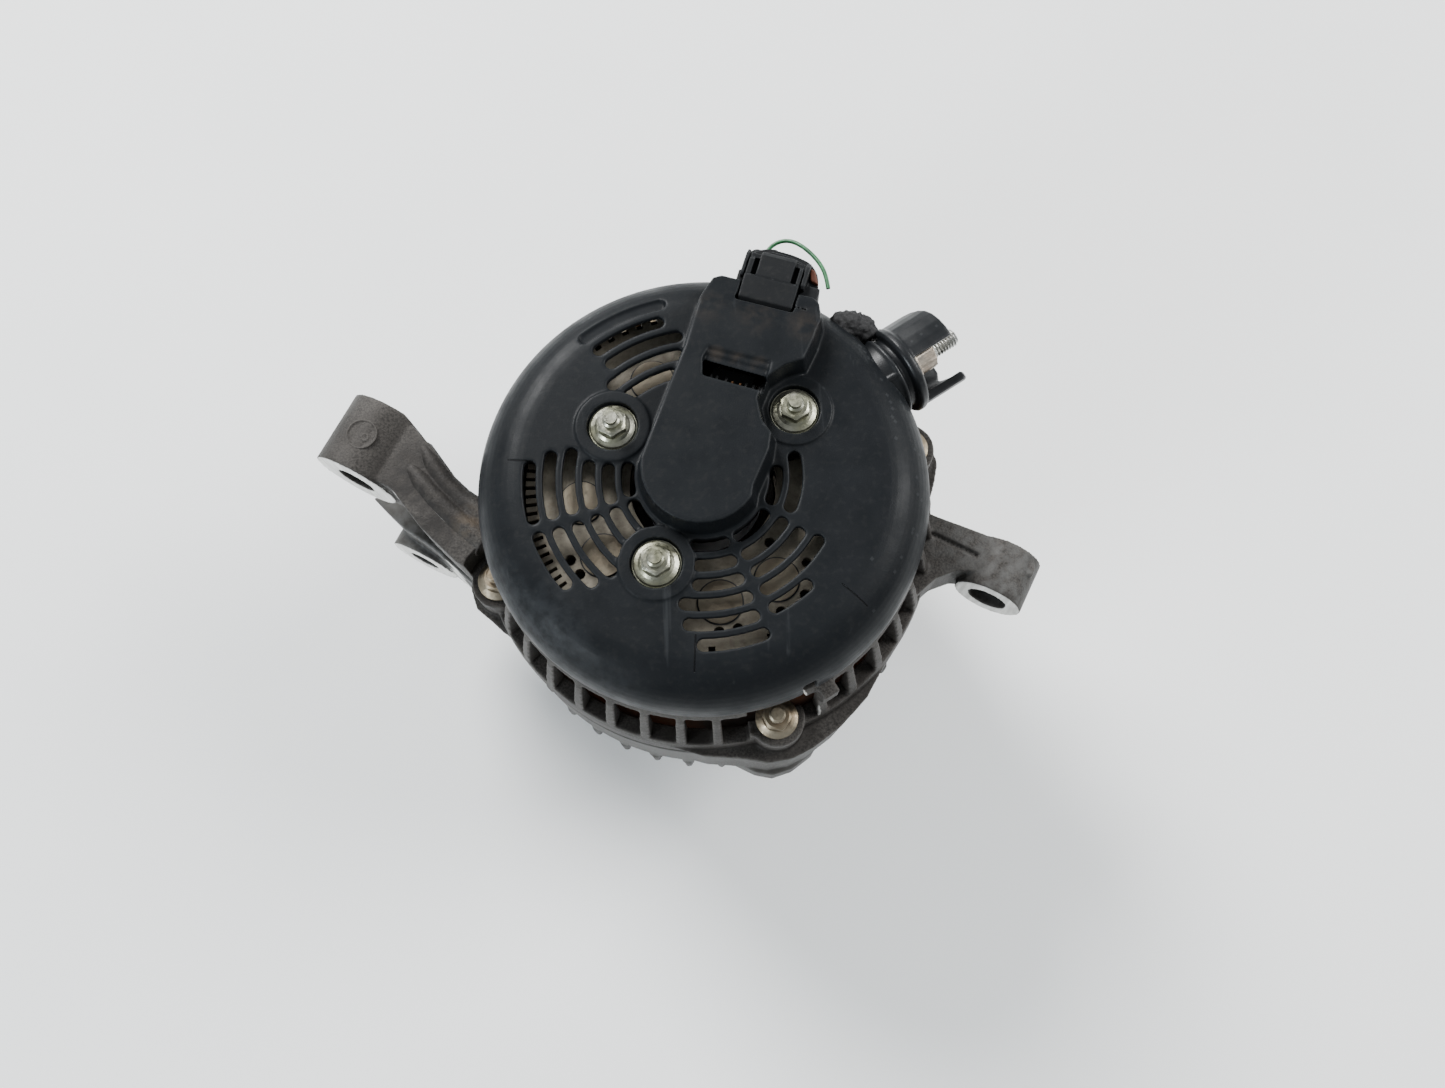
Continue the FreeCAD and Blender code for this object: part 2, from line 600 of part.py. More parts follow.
def rounded_route(points):
    """Straight runs joined by tangent arcs, each as large as its two runs allow."""
    points = [Vector(*p) for p in points]
    edges, start = [], points[0]
    for before, corner, after in zip(points, points[1:], points[2:]):
        back = (before - corner).normalize()
        ahead = (after - corner).normalize()
        half_turn = (math.pi - back.getAngle(ahead)) / 2
        trim = 0.45 * min((before - corner).Length, (after - corner).Length)
        radius = trim / math.tan(half_turn)
        inward = (back + ahead).normalize()
        middle = corner + inward * (radius / math.cos(half_turn) - radius)
        enter, leave = corner + back * trim, corner + ahead * trim
        edges.append(Part.LineSegment(start, enter).toShape())
        edges.append(Part.Arc(enter, middle, leave).toShape())
        print("arc radius %.1f" % radius)
        start = leave
    edges.append(Part.LineSegment(start, points[-1]).toShape())
    return Part.Wire(edges)


def green_wire():
    """Bare-ended stub of a cut wire, bending back towards the terminal."""
    route = [(22.9, 69.8, 140.4), (23.0, 72.6, 140.9), (24.6, 74.9, 141.6), (27.6, 76.2, 142.5),
             (30.9, 75.6, 143.5), (34.0, 73.2, 144.5), (36.8, 69.8, 145.2), (39.2, 65.8, 145.8),
             (40.6, 61.5, 146.0), (40.9, 57.4, 145.8)]
    spine = doc.addObject("Part::Feature", "WireRoute")
    spine.Shape = rounded_route(route)
    ring = doc.addObject("Part::Circle", "WireSection")
    bind(ring, "Radius", cell("wire_radius"))
    start, ahead = Vector(*route[0]), Vector(*route[1]) - Vector(*route[0])
    ring.Placement = Placement(start, Rotation(Vector(0, 0, 1), ahead))
    sweep = doc.addObject("Part::Sweep", "WireSweep")
    sweep.Sections = [ring]
    sweep.Spine = (spine, ["Edge%d" % (i + 1) for i in range(len(spine.Shape.Edges))])
    sweep.Solid = True
    sweep.Frenet = False
    keep("green_wire", sweep)
    doc.recompute()
    length, section = spine.Shape.Length, math.pi * float(cell("wire_radius")) ** 2
    print("wire length %.2f, volume %.2f, section times length %.2f" % (
        length, sweep.Shape.Volume, section * length))


# ------------------------------------------------------------------- castings

def bolt_spots():
    return [turned(float(cell("bolt_circle")), 0, angle) for angle in BOLT_ANGLES]


def ear(face, high, radius, bore, long, arm, arm_low, arm_high):
    """Boss with a bore square to the shaft, on an arm drawn in plan."""
    boss = cylinder(radius, long, (face[0], face[1], high), EAR_AXIS)
    back = (face[0] - EAR_AXIS[0], face[1] - EAR_AXIS[1], high)
    hole = cylinder(bore, long + 2.0, back, EAR_AXIS)
    return [boss, pad(arm, arm_low, arm_high - arm_low)], hole


def swell(rim, bolts, low, height, taper=0.0):
    """Thickening of a housing's wall outside through bolts; rim is (radius, angle) corners."""
    back = [(69.0, a) for a in range(int(rim[-1][1]) - 6, int(rim[0][1]), -10)]
    return [pad([turned(r, 0, bolt + a) for r, a in rim + back], low, height, taper=taper)
            for bolt in BOLT_ANGLES[bolts::2]]


LONG_SWELL = [(69.0, -30), (71.2, -28), (73.4, -19), (75.0, -10), (78.0, -4), (78.8, 1), (78.2, 6),
              (76.6, 14), (74.4, 23), (71.4, 32), (69.0, 34)]
NARROW_SWELL = [(69.0, -18), (72.0, -12), (75.0, -7), (77.4, -3), (77.4, 2), (74.6, 6), (72.6, 10),
                (69.0, 16)]
SHORT_SWELL = [(69.0, -13), (73.0, -12), (77.6, -7), (80.0, -3), (80.0, 2), (78.0, 8), (73.4, 14), (69.0, 15)]


def rear_housing():
    out, bore, roof = cell("case_radius"), cell("case_bore"), cell("rear_roof")
    split, high = cell("split_high"), cell("rear_high")
    race, seat = cell("rear_race"), cell("core_seat")
    gap = cell("fit_gap")
    body = revolve([(race + gap, roof - 5.0), (race + 3.5, roof - 5.0), (race + 3.5, roof - 1.0),
                    (58.0, roof - 1.0), (bore, roof - 9.0), (bore, 101.7), (seat, 101.7),
                    (seat, split), (out, split), (out, split + 10.0), (out - 1.2, split + 20.0),
                    (out - 4.0, high - 6.0), (out - 6.4, high), (out - 10.0, high),
                    (out - 11.0, roof + 3.0), (race + 3.5, roof + 3.0), (race + 3.5, high),
                    (race + gap, high)])
    # forty windows between cooling ribs on the shoulder
    sketch = new_sketch(body, "XZ_Plane", turn=4.5)
    polygon(sketch, [(60.0, 104.0), (80.0, 104.0), (80.0, high - 4.0), (60.0, high - 4.0)])
    window = pocket(body, sketch, 8.0, middle=True)
    repeat(body, window, 40)
    # openings in the roof around the bearing
    sketch = new_sketch(body, "XY_Plane", roof + 4.0)
    corners = [(27, 2), (56, 1), (56, 8), (56, 15), (56, 22), (56, 29), (27, 28), (27, 15)]
    polygon(sketch, [turned(r, 0, a) for r, a in corners])
    vent = pocket(body, sketch, 12.0, upward=False)
    repeat(body, vent, 12)
    adds, holes = [body], []
    for x, y in bolt_spots():
        adds.append(cylinder(cell("boss_radius"), cell("bolt_seat") - split, (x, y, split)))
        holes.append(cylinder(cell("bolt_hole"), 60.0, (x, y, split - 5)))
        holes.append(cylinder(cell("boss_radius") + 0.4, 30.0, (x, y, cell("bolt_seat"))))
    adds += swell(LONG_SWELL, 1, split, 9.0, taper=8.0) + swell(NARROW_SWELL, 0, split, 9.0, taper=8.0)
    # lug below the cover's rim, beside its notch
    adds.append(box(7.0, 5.4, 9.0, turned(67.4, 0, -61.5) + (high - 10.6,), spin=-61.5))
    # posts that carry the rectifier
    for x, y in NUT_SPOTS:
        adds.append(cylinder(5.6, cell("minus_plate") - 0.1 - roof, (x, y, roof)))
        holes.append(cylinder(cell("stud_radius") + 0.05, 8.0, (x, y, roof)))
    left_arm = [(-104.5, 36.5), (-97.2, 36.4), (-90.2, 30.8), (-85.0, 24.7), (-81.0, 18.6), (-76.6, 12.4),
                (-72.4, 7.4), (-66.0, 2.6), (-66.0, -22.0), (-77.1, -13.6), (-88.0, -2.0), (-97.2, 11.0),
                (-107.6, 17.4)]
    right_arm = [(64.0, 0.5), (72.0, -4.6), (87.0, -11.6), (94.0, -16.0), (89.0, -25.0),
                 (82.0, -23.4), (77.0, -23.0), (70.4, -25.0), (60.0, -33.0)]
    left, left_bore = ear((-111.2, 17.9), cell("ear_big_high"), cell("ear_big"),
                          cell("ear_bore_big"), cell("ear_big_long"), left_arm, 98.5, 120.5)
    right, right_bore = ear((87.0, -30.7), cell("ear_right_high"), cell("ear_right"),
                            cell("ear_bore_big"), cell("ear_right_long"), right_arm, 92.0, 109.5)
    adds += left + right
    # squared outer end of the right ear, the groove along its arm, the left boss's slanted end
    adds.append(pad([(84.0, -14.2), (86.0, -13.2), (90.0, -13.9), (94.4, -16.5), (99.4, -19.4),
                     (101.3, -21.8), (101.5, -23.8), (100.2, -26.4), (90.0, -22.0)], 98.0, 11.3))
    holes.append(box(17.0, 1.2, 3.0, (77.4, -14.4, 108.2), spin=-30.7))
    holes.append(box(20.0, 6.0, 30.0, (-89.5, 35.6, 92.0), spin=-50.7))
    inside = cylinder(bore, 40.0, (0, 0, roof - 40.5))
    ux, uy = turned(1, 0, TERMINAL_TURN)
    for radius, reach in ((12.3, 46.0), (cell("terminal_ring") + 0.4, 66.2)):
        holes.append(cylinder(radius, 30.0, (reach * ux, reach * uy, cell("terminal_high")), (ux, uy, 0)))
    core_room = cylinder(seat, 101.7 - float(split) + 3, (0, 0, split - 3))
    keep("rear_housing", cut(fuse(*adds), *(holes + [left_bore, right_bore, inside, core_room])))


def front_housing():
    out, bore, low, split = cell("case_radius"), cell("case_bore"), cell("front_low"), cell("split_low")
    race, gap, seat = cell("front_race"), cell("fit_gap"), cell("core_seat")
    body = revolve([(18.0, low), (race + 6.0, low), (race + 7.0, low + 6.0), (58.0, low + 6.0),
                    (out - 4.0, low + 6.0), (out - 0.8, low + 9.5), (out, low + 13.0), (out, split),
                    (seat, split), (seat, 74.3), (bore, 74.3), (bore, low + 18.0), (56.0, low + 9.5),
                    (race + 7.0, low + 9.5), (race + 6.0, low + 16.2), (race + gap, low + 16.2),
                    (race + gap, low + 1.8), (18.0, low + 1.8)])
    # windows between ribs, on the shoulder and in the face
    sketch = new_sketch(body, "XZ_Plane", turn=4.5)
    polygon(sketch, [(60.0, low + 8.0), (80.0, low + 8.0), (80.0, low + 20.0), (60.0, low + 20.0)])
    window = pocket(body, sketch, 7.4, middle=True)
    repeat(body, window, 40)
    sketch = new_sketch(body, "XY_Plane", low - 1.0)
    corners = [(34, 3), (54, 2), (54, 9), (54, 16), (54, 23), (54, 30), (34, 29), (34, 16)]
    polygon(sketch, [turned(r, 0, a) for r, a in corners])
    vent = pocket(body, sketch, 20.0)
    repeat(body, vent, 11)
    adds, holes = [body], []
    for x, y in bolt_spots():
        adds.append(cylinder(cell("boss_radius"), split - low - 10.0, (x, y, low + 10.0)))
        holes.append(cylinder(cell("bolt_radius") + 0.05, 60.0, (x, y, low + 5.0)))
        holes.append(cylinder(cell("nut_flange") + 0.3, 12.0, (x, y, low - 2.1)))
    adds += swell(LONG_SWELL, 1, low + 20.0, split - low - 20.0)
    adds += swell(NARROW_SWELL, 0, low + 20.0, split - low - 20.0)
    adds += swell(SHORT_SWELL, 1, low + 7.0, 14.0)
    # short studs where the ribs meet the lower edge
    adds += around(40, lambda a: cylinder(1.4, 9.0, turned(float(out) - 0.6, 0, a) + (low + 6.4,)))
    lower_arm = [(-104.0, 24.0), (-90.0, 22.0), (-70.0, 16.0), (-62.0, -4.0), (-64.0, -34.0),
                 (-73.4, -18.8), (-84.0, -7.0), (-92.0, 0.5), (-101.0, 8.0)]
    lower, lower_bore = ear((-102.8, 5.6), cell("ear_low_high"), cell("ear_low"),
                            cell("ear_bore_low"), cell("ear_low_long"), lower_arm, 47.5, 66.0)
    web = pad([(-115.0, 22.5), (-104.0, 10.6), (-94.0, 3.0), (-78.0, -12.6), (-66.0, -20.0), (-62.0, 0.0),
               (-72.0, 8.0), (-86.0, 14.0), (-100.0, 24.0)], 64.0, 15.5)
    adds += lower + [web]
    inside = cylinder(bore, 30.0, (0, 0, low + 18.0))
    core_room = cylinder(seat, 20.0, (0, 0, 74.3))
    hub = cylinder(race + gap, 14.4, (0, 0, low + 1.8))
    keep("front_housing", cut(fuse(*adds), *(holes + [lower_bore, inside, core_room, hub])))


def through_fasteners():
    bolts, nuts = [], []
    seat, low = cell("bolt_seat"), cell("front_low") + 9.9
    for x, y in bolt_spots():
        bolts.append(fuse(cylinder(cell("bolt_radius"), cell("bolt_top") - low, (x, y, low)),
                          prism(cell("nut_across"), 4.0, (x, y, low - 4.0)),
                          cylinder(cell("nut_flange") - 0.6, 1.2, (x, y, low - 1.2)),
                          cone(cell("bolt_radius"), 1.9, 0.6, (x, y, cell("bolt_top")))))
        blank = fuse(cone(cell("nut_flange") - 0.2, cell("nut_flange") - 1.0, 1.4, (x, y, seat + 0.02)),
                     prism(cell("nut_across"), 5.2, (x, y, seat + 0.02), spin=20.0))
        nuts.append(cut(blank, cylinder(cell("bolt_radius") + 0.05, 8.0, (x, y, seat - 1.0))))
    keep("through_bolts", group(*bolts))
    keep("through_bolt_nuts", group(*nuts))


# --------------------------------------------------------------------- stator

def stator():
    low, high = cell("core_low"), cell("core_high")
    core = revolve([(cell("core_bore"), low), (cell("core_radius"), low), (cell("core_radius"), high),
                    (cell("core_bore"), high)])
    # winding slots open to the bore, 48 of them, and grooves for the four bolts
    sketch = new_sketch(core, "XY_Plane", low)
    bore = cell("core_bore")
    polygon(sketch, [(bore - 2.0, -1.1), (bore + 12.0, -1.1), (bore + 12.0, 1.1), (bore - 2.0, 1.1)])
    slot = pocket(core, sketch, high - low, upward=True)
    repeat(core, slot, 48)
    grooves = [cylinder(cell("bolt_radius") + 0.8, 40.0, (x, y, low - 5)) for x, y in bolt_spots()]
    keep("stator_core", cut(core, *grooves))
    # copper: two crowns joined by the bars that lie in the slots
    wire = revolve([(bore + 1.5, low - 11.5), (bore + 9.8, low - 11.5), (bore + 9.8, low - 0.2),
                    (bore + 1.5, low - 0.2)])
    crown = revolve([(bore + 1.5, high + 0.2), (bore + 9.8, high + 0.2), (bore + 9.8, high + 11.0),
                     (bore + 1.5, high + 11.0)])
    bars = around(48, lambda a: box(9.8, 1.8, high - low + 2.0,
                                    turned(float(bore) + 6.6, 0, a) + (low - 1.0,), spin=a))
    keep("stator_winding", fuse(wire, crown, *bars))


# ---------------------------------------------------------------------- rotor

def claw_pole(high_side):
    """Disc with eight tapering claws; the pair face each other."""
    low, high, out = cell("claw_low"), cell("claw_high"), cell("claw_radius")
    root = low + 11.0
    hub = cell("shaft_radius") + cell("fit_gap")
    body = revolve([(hub, low), (out - 2.5, low), (out, low + 2.5), (out, root), (37.5, root),
                    (37.5, root - 1.0), (hub, root - 1.0)])
    claw = [(37.5, -9.6), (49.2, -10.6), (50.2, -5.5), (50.4, 0), (50.2, 5.5), (49.2, 10.6), (37.5, 9.6)]
    teeth = around(8, lambda a: pad([turned(r, y, a) for r, y in claw], root, high - 2.6 - root))
    # the gaps between claws, cut as wedges so that each claw narrows to its tip
    gaps = []
    for angle in [22.5 + 45.0 * i for i in range(8)]:
        tool = doc.addObject("Part::Wedge", "Gap")
        tool.Xmin, tool.Xmax, tool.X2min, tool.X2max = 30.0, 60.0, 30.0, 60.0
        tool.Ymin, tool.Ymax = 0.0, 40.0
        tool.Zmin, tool.Zmax, tool.Z2min, tool.Z2max = -9.0, 9.0, -17.0, 17.0
        upright = Rotation(Vector(1, 0, 0), 90)
        tool.Placement = Placement(Vector(0, 0, float(low) + 2.5),
                                   Rotation(Vector(0, 0, 1), angle).multiply(upright))
        gaps.append(tool)
    pole = cut(fuse(body, *teeth), *gaps)
    if high_side:
        middle = (float(low) + float(high)) / 2
        pole.Placement = Placement(Vector(0, 0, 2 * middle), Rotation(Vector(1, 0, 0), 180)).multiply(
            Placement(Vector(0, 0, 0), Rotation(Vector(0, 0, 1), 22.5)))
    return pole


def rotor():
    low, high, shaft = cell("claw_low"), cell("claw_high"), cell("shaft_radius")
    journal = cell("rear_journal")
    keep("rotor_shaft", revolve([(0, 2.0), (shaft - 1.0, 2.0), (shaft, 3.0), (shaft, 113.0),
                                 (journal, 113.6), (journal, 128.5), (5.0, 128.5), (5.0, 146.0),
                                 (0, 146.0)]))
    keep("front_claw_pole", claw_pole(False))
    keep("rear_claw_pole", claw_pole(True))
    gap, flange = cell("fit_gap"), cell("field_radius") + 2.6
    spool = revolve([(shaft + gap, low + 10.2), (flange, low + 11.4), (flange, low + 12.8),
                     (14.0, low + 12.8), (14.0, high - 12.8), (flange, high - 12.8),
                     (flange, high - 11.4), (shaft + gap, high - 10.2)])
    keep("field_bobbin", spool)
    keep("field_coil", tube(cell("field_radius"), 14.1, high - low - 25.8, (0, 0, low + 12.9)))
    for label, base, up in (("front_fan", low - 6.4, False), ("rear_fan", high + 0.1, True)):
        disc = high + 0.1 if up else low - 1.5
        plate = tube(30.0, shaft + gap, 1.4, (0, 0, disc))
        reach = cell("fan_radius") - 10.5
        blades = around(11, lambda a: box(17.0, 1.6, 6.2, turned(reach, 4.0, a) + (base,), spin=a + 38))
        feet = around(11, lambda a: box(16.0, 7.0, 1.4, turned(34.0, 0, a) + (disc,), spin=a + 10))
        keep(label, fuse(plate, *(blades + feet)))
    sleeve = tube(6.2, 5.05, 16.6, (0, 0, 129.2))
    keep("slip_ring_sleeve", sleeve)
    keep("slip_rings", group(*[tube(cell("slip_radius"), 6.25, 5.4, (0, 0, z)) for z in (131.4, 139.0)]))


def bearing(prefix, race, bore, low, wide, balls):
    """Deep-groove bearing: two rings, balls in a cage, a shield on each face."""
    mid = low + wide / 2
    pitch = (race + bore) / 2
    size = (race - bore) * 0.26
    outer = cut(tube(race, pitch + size * 0.62, wide, (0, 0, low)),
                ring_bar(pitch, size + 0.05, (0, 0, mid)))
    inner = cut(tube(pitch - size * 0.62, bore, wide, (0, 0, low)),
                ring_bar(pitch, size + 0.05, (0, 0, mid)))
    keep(prefix + "_bearing_outer", outer)
    keep(prefix + "_bearing_inner", inner)
    keep(prefix + "_bearing_balls", group(*around(
        balls, lambda a: ball(size, turned(float(pitch), 0, a) + (mid,)), first=10.0)))
    pockets = around(balls, lambda a: cylinder(size + 0.05, 6.0, turned(float(pitch) - 3.0, 0, a) + (mid,),
                                               turned(1, 0, a) + (0,)), first=10.0)
    cage = tube(pitch + 1.0, pitch - 1.0, size * 2 + 1.6, (0, 0, mid - size - 0.8))
    keep(prefix + "_bearing_cage", cut(cage, *pockets))
    shields = [tube(pitch + size * 0.6, pitch - size * 0.62 + 0.35, 0.5, (0, 0, z))
               for z in (low + 0.3, low + wide - 0.8)]
    keep(prefix + "_bearing_shields", group(*shields))


def bearings():
    bearing("front", cell("front_race"), cell("shaft_radius") + cell("fit_gap"), cell("front_bearing_low"),
            cell("front_bearing_wide"), 8)
    bearing("rear", cell("rear_race"), cell("rear_journal") + cell("fit_gap"), cell("rear_bearing_low"),
            cell("rear_bearing_wide"), 8)
    # plate that traps the front bearing, with its four screws
    low = cell("front_low") + 16.4
    holes = [cylinder(2.3, 4.0, turned(26.6, 0, a) + (low - 1.0,)) for a in (45, 135, 225, 315)]
    keep("bearing_plate", cut(tube(29.4, 19.5, 1.6, (0, 0, low)), *holes))
    screws = []
    for angle in (45, 135, 225, 315):
        x, y = turned(26.6, 0, angle)
        screws.append(cut(cylinder(3.4, 1.7, (x, y, low + 1.65)), box(3.0, 0.9, 0.7, (x, y, low + 2.8)),
                          box(0.9, 3.0, 0.7, (x, y, low + 2.8))))
    keep("bearing_plate_screws", group(*screws))


# --------------------------------------------------------------------- pulley

def pulley():
    out, long, gap = cell("pulley_radius"), cell("pulley_long"), cell("fit_gap")
    pitch, deep = cell("groove_pitch"), cell("groove_deep")
    hub = cell("shaft_radius") + gap
    profile = [(hub, 12.0), (18.0, 12.0), (20.0, 2.0), (21.0, 0), (out - 1.0, 0), (out, 1.0)]
    for i in range(6):
        z = pitch * i + 4.0
        profile += [(out, z), (out - deep, z + pitch * 0.36), (out - deep, z + pitch * 0.50),
                    (out, z + pitch * 0.86)]
    profile += [(out, long - 4.0), (out - 1.0, long - 3.0), (20.0, long - 3.0), (13.0, long), (hub, long)]
    keep("pulley", revolve(profile))
    nut = cut(fuse(prism(22.0 + cell("fit_gap"), 8.0, (0, 0, 3.0)), cylinder(14.6, 1.2, (0, 0, 10.7))),
              cylinder(hub, 12.0, (0, 0, 2.0)))
    keep("pulley_nut", nut)
    keep("spacer_collar", tube(13.0, hub, cell("front_bearing_low") - long - 0.1, (0, 0, long + 0.05)))


# -------------------------------------------------------------------- brushes

def brushes():
    """Two carbon brushes, one for each slip ring, with their springs and holder."""
    side = turned(1, 0, PLUG_TURN)
    start = cell("slip_radius") + 0.1
    holder_tools = []
    for number, z in ((1, 134.1), (2, 141.7)):
        middle = float(start) + float(cell("brush_long")) / 2
        x, y = side[0] * middle, side[1] * middle
        brush = box(cell("brush_long"), cell("brush_thick"), cell("brush_wide"),
                    (x, y, z - float(cell("brush_wide")) / 2), spin=PLUG_TURN)
        keep("brush_%d" % number, cut(brush, cylinder(start, 12.0, (0, 0, z - 6.0))))
        coil = doc.addObject("Part::Feature", "Spring")
        coil.Shape = coil_spring(1.6, 0.25, 9.0, 9)
        coil.Placement = Placement(Vector(side[0] * 23.8, side[1] * 23.8, z),
                                   Rotation(Vector(0, 0, 1), Vector(side[0], side[1], 0)))
        keep("brush_spring_%d" % number, coil)
        wide, tall = cell("brush_thick") + 0.6, cell("brush_wide") + 0.6
        holder_tools.append(box(26.0, wide, tall, (side[0] * 20.2, side[1] * 20.2, z - float(tall) / 2),
                                spin=PLUG_TURN))
    holder = box(22.0, 12.5, 14.8, (side[0] * 23.2, side[1] * 23.2, 130.5), spin=PLUG_TURN)
    keep("brush_holder", cut(holder, *holder_tools))


def coil_spring(radius, wire, length, turns):
    """Round-wire compression spring along Z."""
    path = Part.makeHelix(length / turns, length, radius)
    ring = Part.Wire([Part.makeCircle(wire, Vector(radius, 0, 0), Vector(0, 1, 0))])
    return Part.Wire(path.Edges).makePipeShell([ring], True, True)


# ----------------------------------------------------------------------- main

for make in (rear_cover, cover_fasteners, rectifier, output_terminal, connector, green_wire,
             rear_housing, front_housing, through_fasteners, stator, rotor, bearings, pulley, brushes):
    make()
    doc.recompute()

bad = [o.Label for o in doc.Objects if "Invalid" in o.State or "Error" in o.State]
for label, obj in nodes.items():
    if obj.Shape.isNull() or not obj.Shape.isValid():
        bad.append(label)
print("nodes:", len(nodes), "bad:", bad)

os.makedirs("parts", exist_ok=True)
for label, obj in nodes.items():
    obj.Shape.exportStep("parts/%s.step" % label)
    box_of = obj.Shape.BoundBox
    print("%-26s solids %3d  volume %9.0f  z %.1f..%.1f" % (
        label, len(obj.Shape.Solids), obj.Shape.Volume, box_of.ZMin, box_of.ZMax))
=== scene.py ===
import math

import bmesh
import bpy
from mathutils import Matrix, Vector, noise


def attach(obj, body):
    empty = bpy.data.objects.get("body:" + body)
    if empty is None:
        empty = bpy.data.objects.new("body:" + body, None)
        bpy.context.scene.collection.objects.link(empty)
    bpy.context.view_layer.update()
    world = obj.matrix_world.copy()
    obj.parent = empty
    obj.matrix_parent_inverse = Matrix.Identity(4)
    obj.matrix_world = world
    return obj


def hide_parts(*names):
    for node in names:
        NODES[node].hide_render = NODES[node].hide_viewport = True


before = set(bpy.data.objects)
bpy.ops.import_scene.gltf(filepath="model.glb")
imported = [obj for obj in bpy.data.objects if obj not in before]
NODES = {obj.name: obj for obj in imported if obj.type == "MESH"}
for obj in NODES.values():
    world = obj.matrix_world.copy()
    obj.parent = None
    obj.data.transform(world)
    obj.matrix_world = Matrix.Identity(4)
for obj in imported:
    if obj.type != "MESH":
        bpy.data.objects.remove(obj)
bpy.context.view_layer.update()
MM = 0.001

# ------------------------------------------------------------------ camera, light

# The photograph's viewpoint, in millimetres and degrees of the part's frame.
CAMERA_PLACE = (4.7, -115.2, 471.6)
CAMERA_PITCH = 73.804
CAMERA_ROLL = -3.307
SENSOR_WIDTH = 36.0
LENS = 29.8962

# Lamps in metres: name, place, size, watts, tint.
LAMPS = (("key", (-0.8, 1.3, 1.4), 0.8, 70.0, (1, 1, 1)),
         ("fill", (1.3, 0.3, 1.1), 0.9, 30.0, (1, 1, 1)),
         ("window", (-1.2, -0.9, 0.7), 0.6, 17.0, (0.86, 0.94, 1.0)))
LAMP_TARGET = (0, 0, 0.1)
WORLD_STRENGTH = 0.42
FLOOR_REACH = 3.0


def make_camera():
    """Looks steeply down on the cover, at the photograph's angle and distance."""
    pitch, roll = math.radians(CAMERA_PITCH), math.radians(CAMERA_ROLL)
    forward = Vector((0, math.cos(pitch), -math.sin(pitch)))
    level = Vector((1, 0, 0))
    rise = Vector((0, math.sin(pitch), math.cos(pitch)))
    right = level * math.cos(roll) + rise * math.sin(roll)
    up = rise * math.cos(roll) - level * math.sin(roll)
    data = bpy.data.cameras.new("camera")
    data.sensor_width = SENSOR_WIDTH
    data.lens = LENS
    data.clip_start, data.clip_end = 0.01, 20.0
    camera = bpy.data.objects.new("camera", data)
    bpy.context.scene.collection.objects.link(camera)
    turn = Matrix((right, up, -forward)).transposed().to_4x4()
    camera.matrix_world = Matrix.Translation(Vector(CAMERA_PLACE) * MM) @ turn
    bpy.context.scene.camera = camera


def area_light(name, place, size, watts, tint):
    data = bpy.data.lights.new(name, "AREA")
    data.shape = "DISK"
    data.size = size
    data.energy = watts
    data.color = tint
    lamp = bpy.data.objects.new(name, data)
    bpy.context.scene.collection.objects.link(lamp)
    aim = (Vector(LAMP_TARGET) - Vector(place)).to_track_quat("-Z", "Y")
    lamp.matrix_world = Matrix.Translation(place) @ aim.to_matrix().to_4x4()


def make_stage():
    """Pale floor under the pulley, soft light all round."""
    world = bpy.data.worlds.new("studio")
    bpy.context.scene.world = world
    world.use_nodes = True
    shade = world.node_tree.nodes["Background"]
    shade.inputs["Color"].default_value = (0.93, 0.97, 1.0, 1)
    shade.inputs["Strength"].default_value = WORLD_STRENGTH
    for lamp in LAMPS:
        area_light(*lamp)
    mesh = bpy.data.meshes.new("floor")
    corners = [(x * FLOOR_REACH, y * FLOOR_REACH, 0) for x, y in ((-1, -1), (1, -1), (1, 1), (-1, 1))]
    mesh.from_pydata(corners, [], [(0, 1, 2, 3)])
    floor = bpy.data.objects.new("floor", mesh)
    bpy.context.scene.collection.objects.link(floor)
    t = Tree("floor_paper")
    blotch = t.noise(9.0, 4.0)
    t.base(t.ramp(blotch, (0.3, (0.94, 0.955, 0.95)), (0.7, (0.97, 0.98, 0.975))))
    t.set(Roughness=0.75)
    mesh.materials.append(t.material)


# ---------------------------------------------------------------------- materials


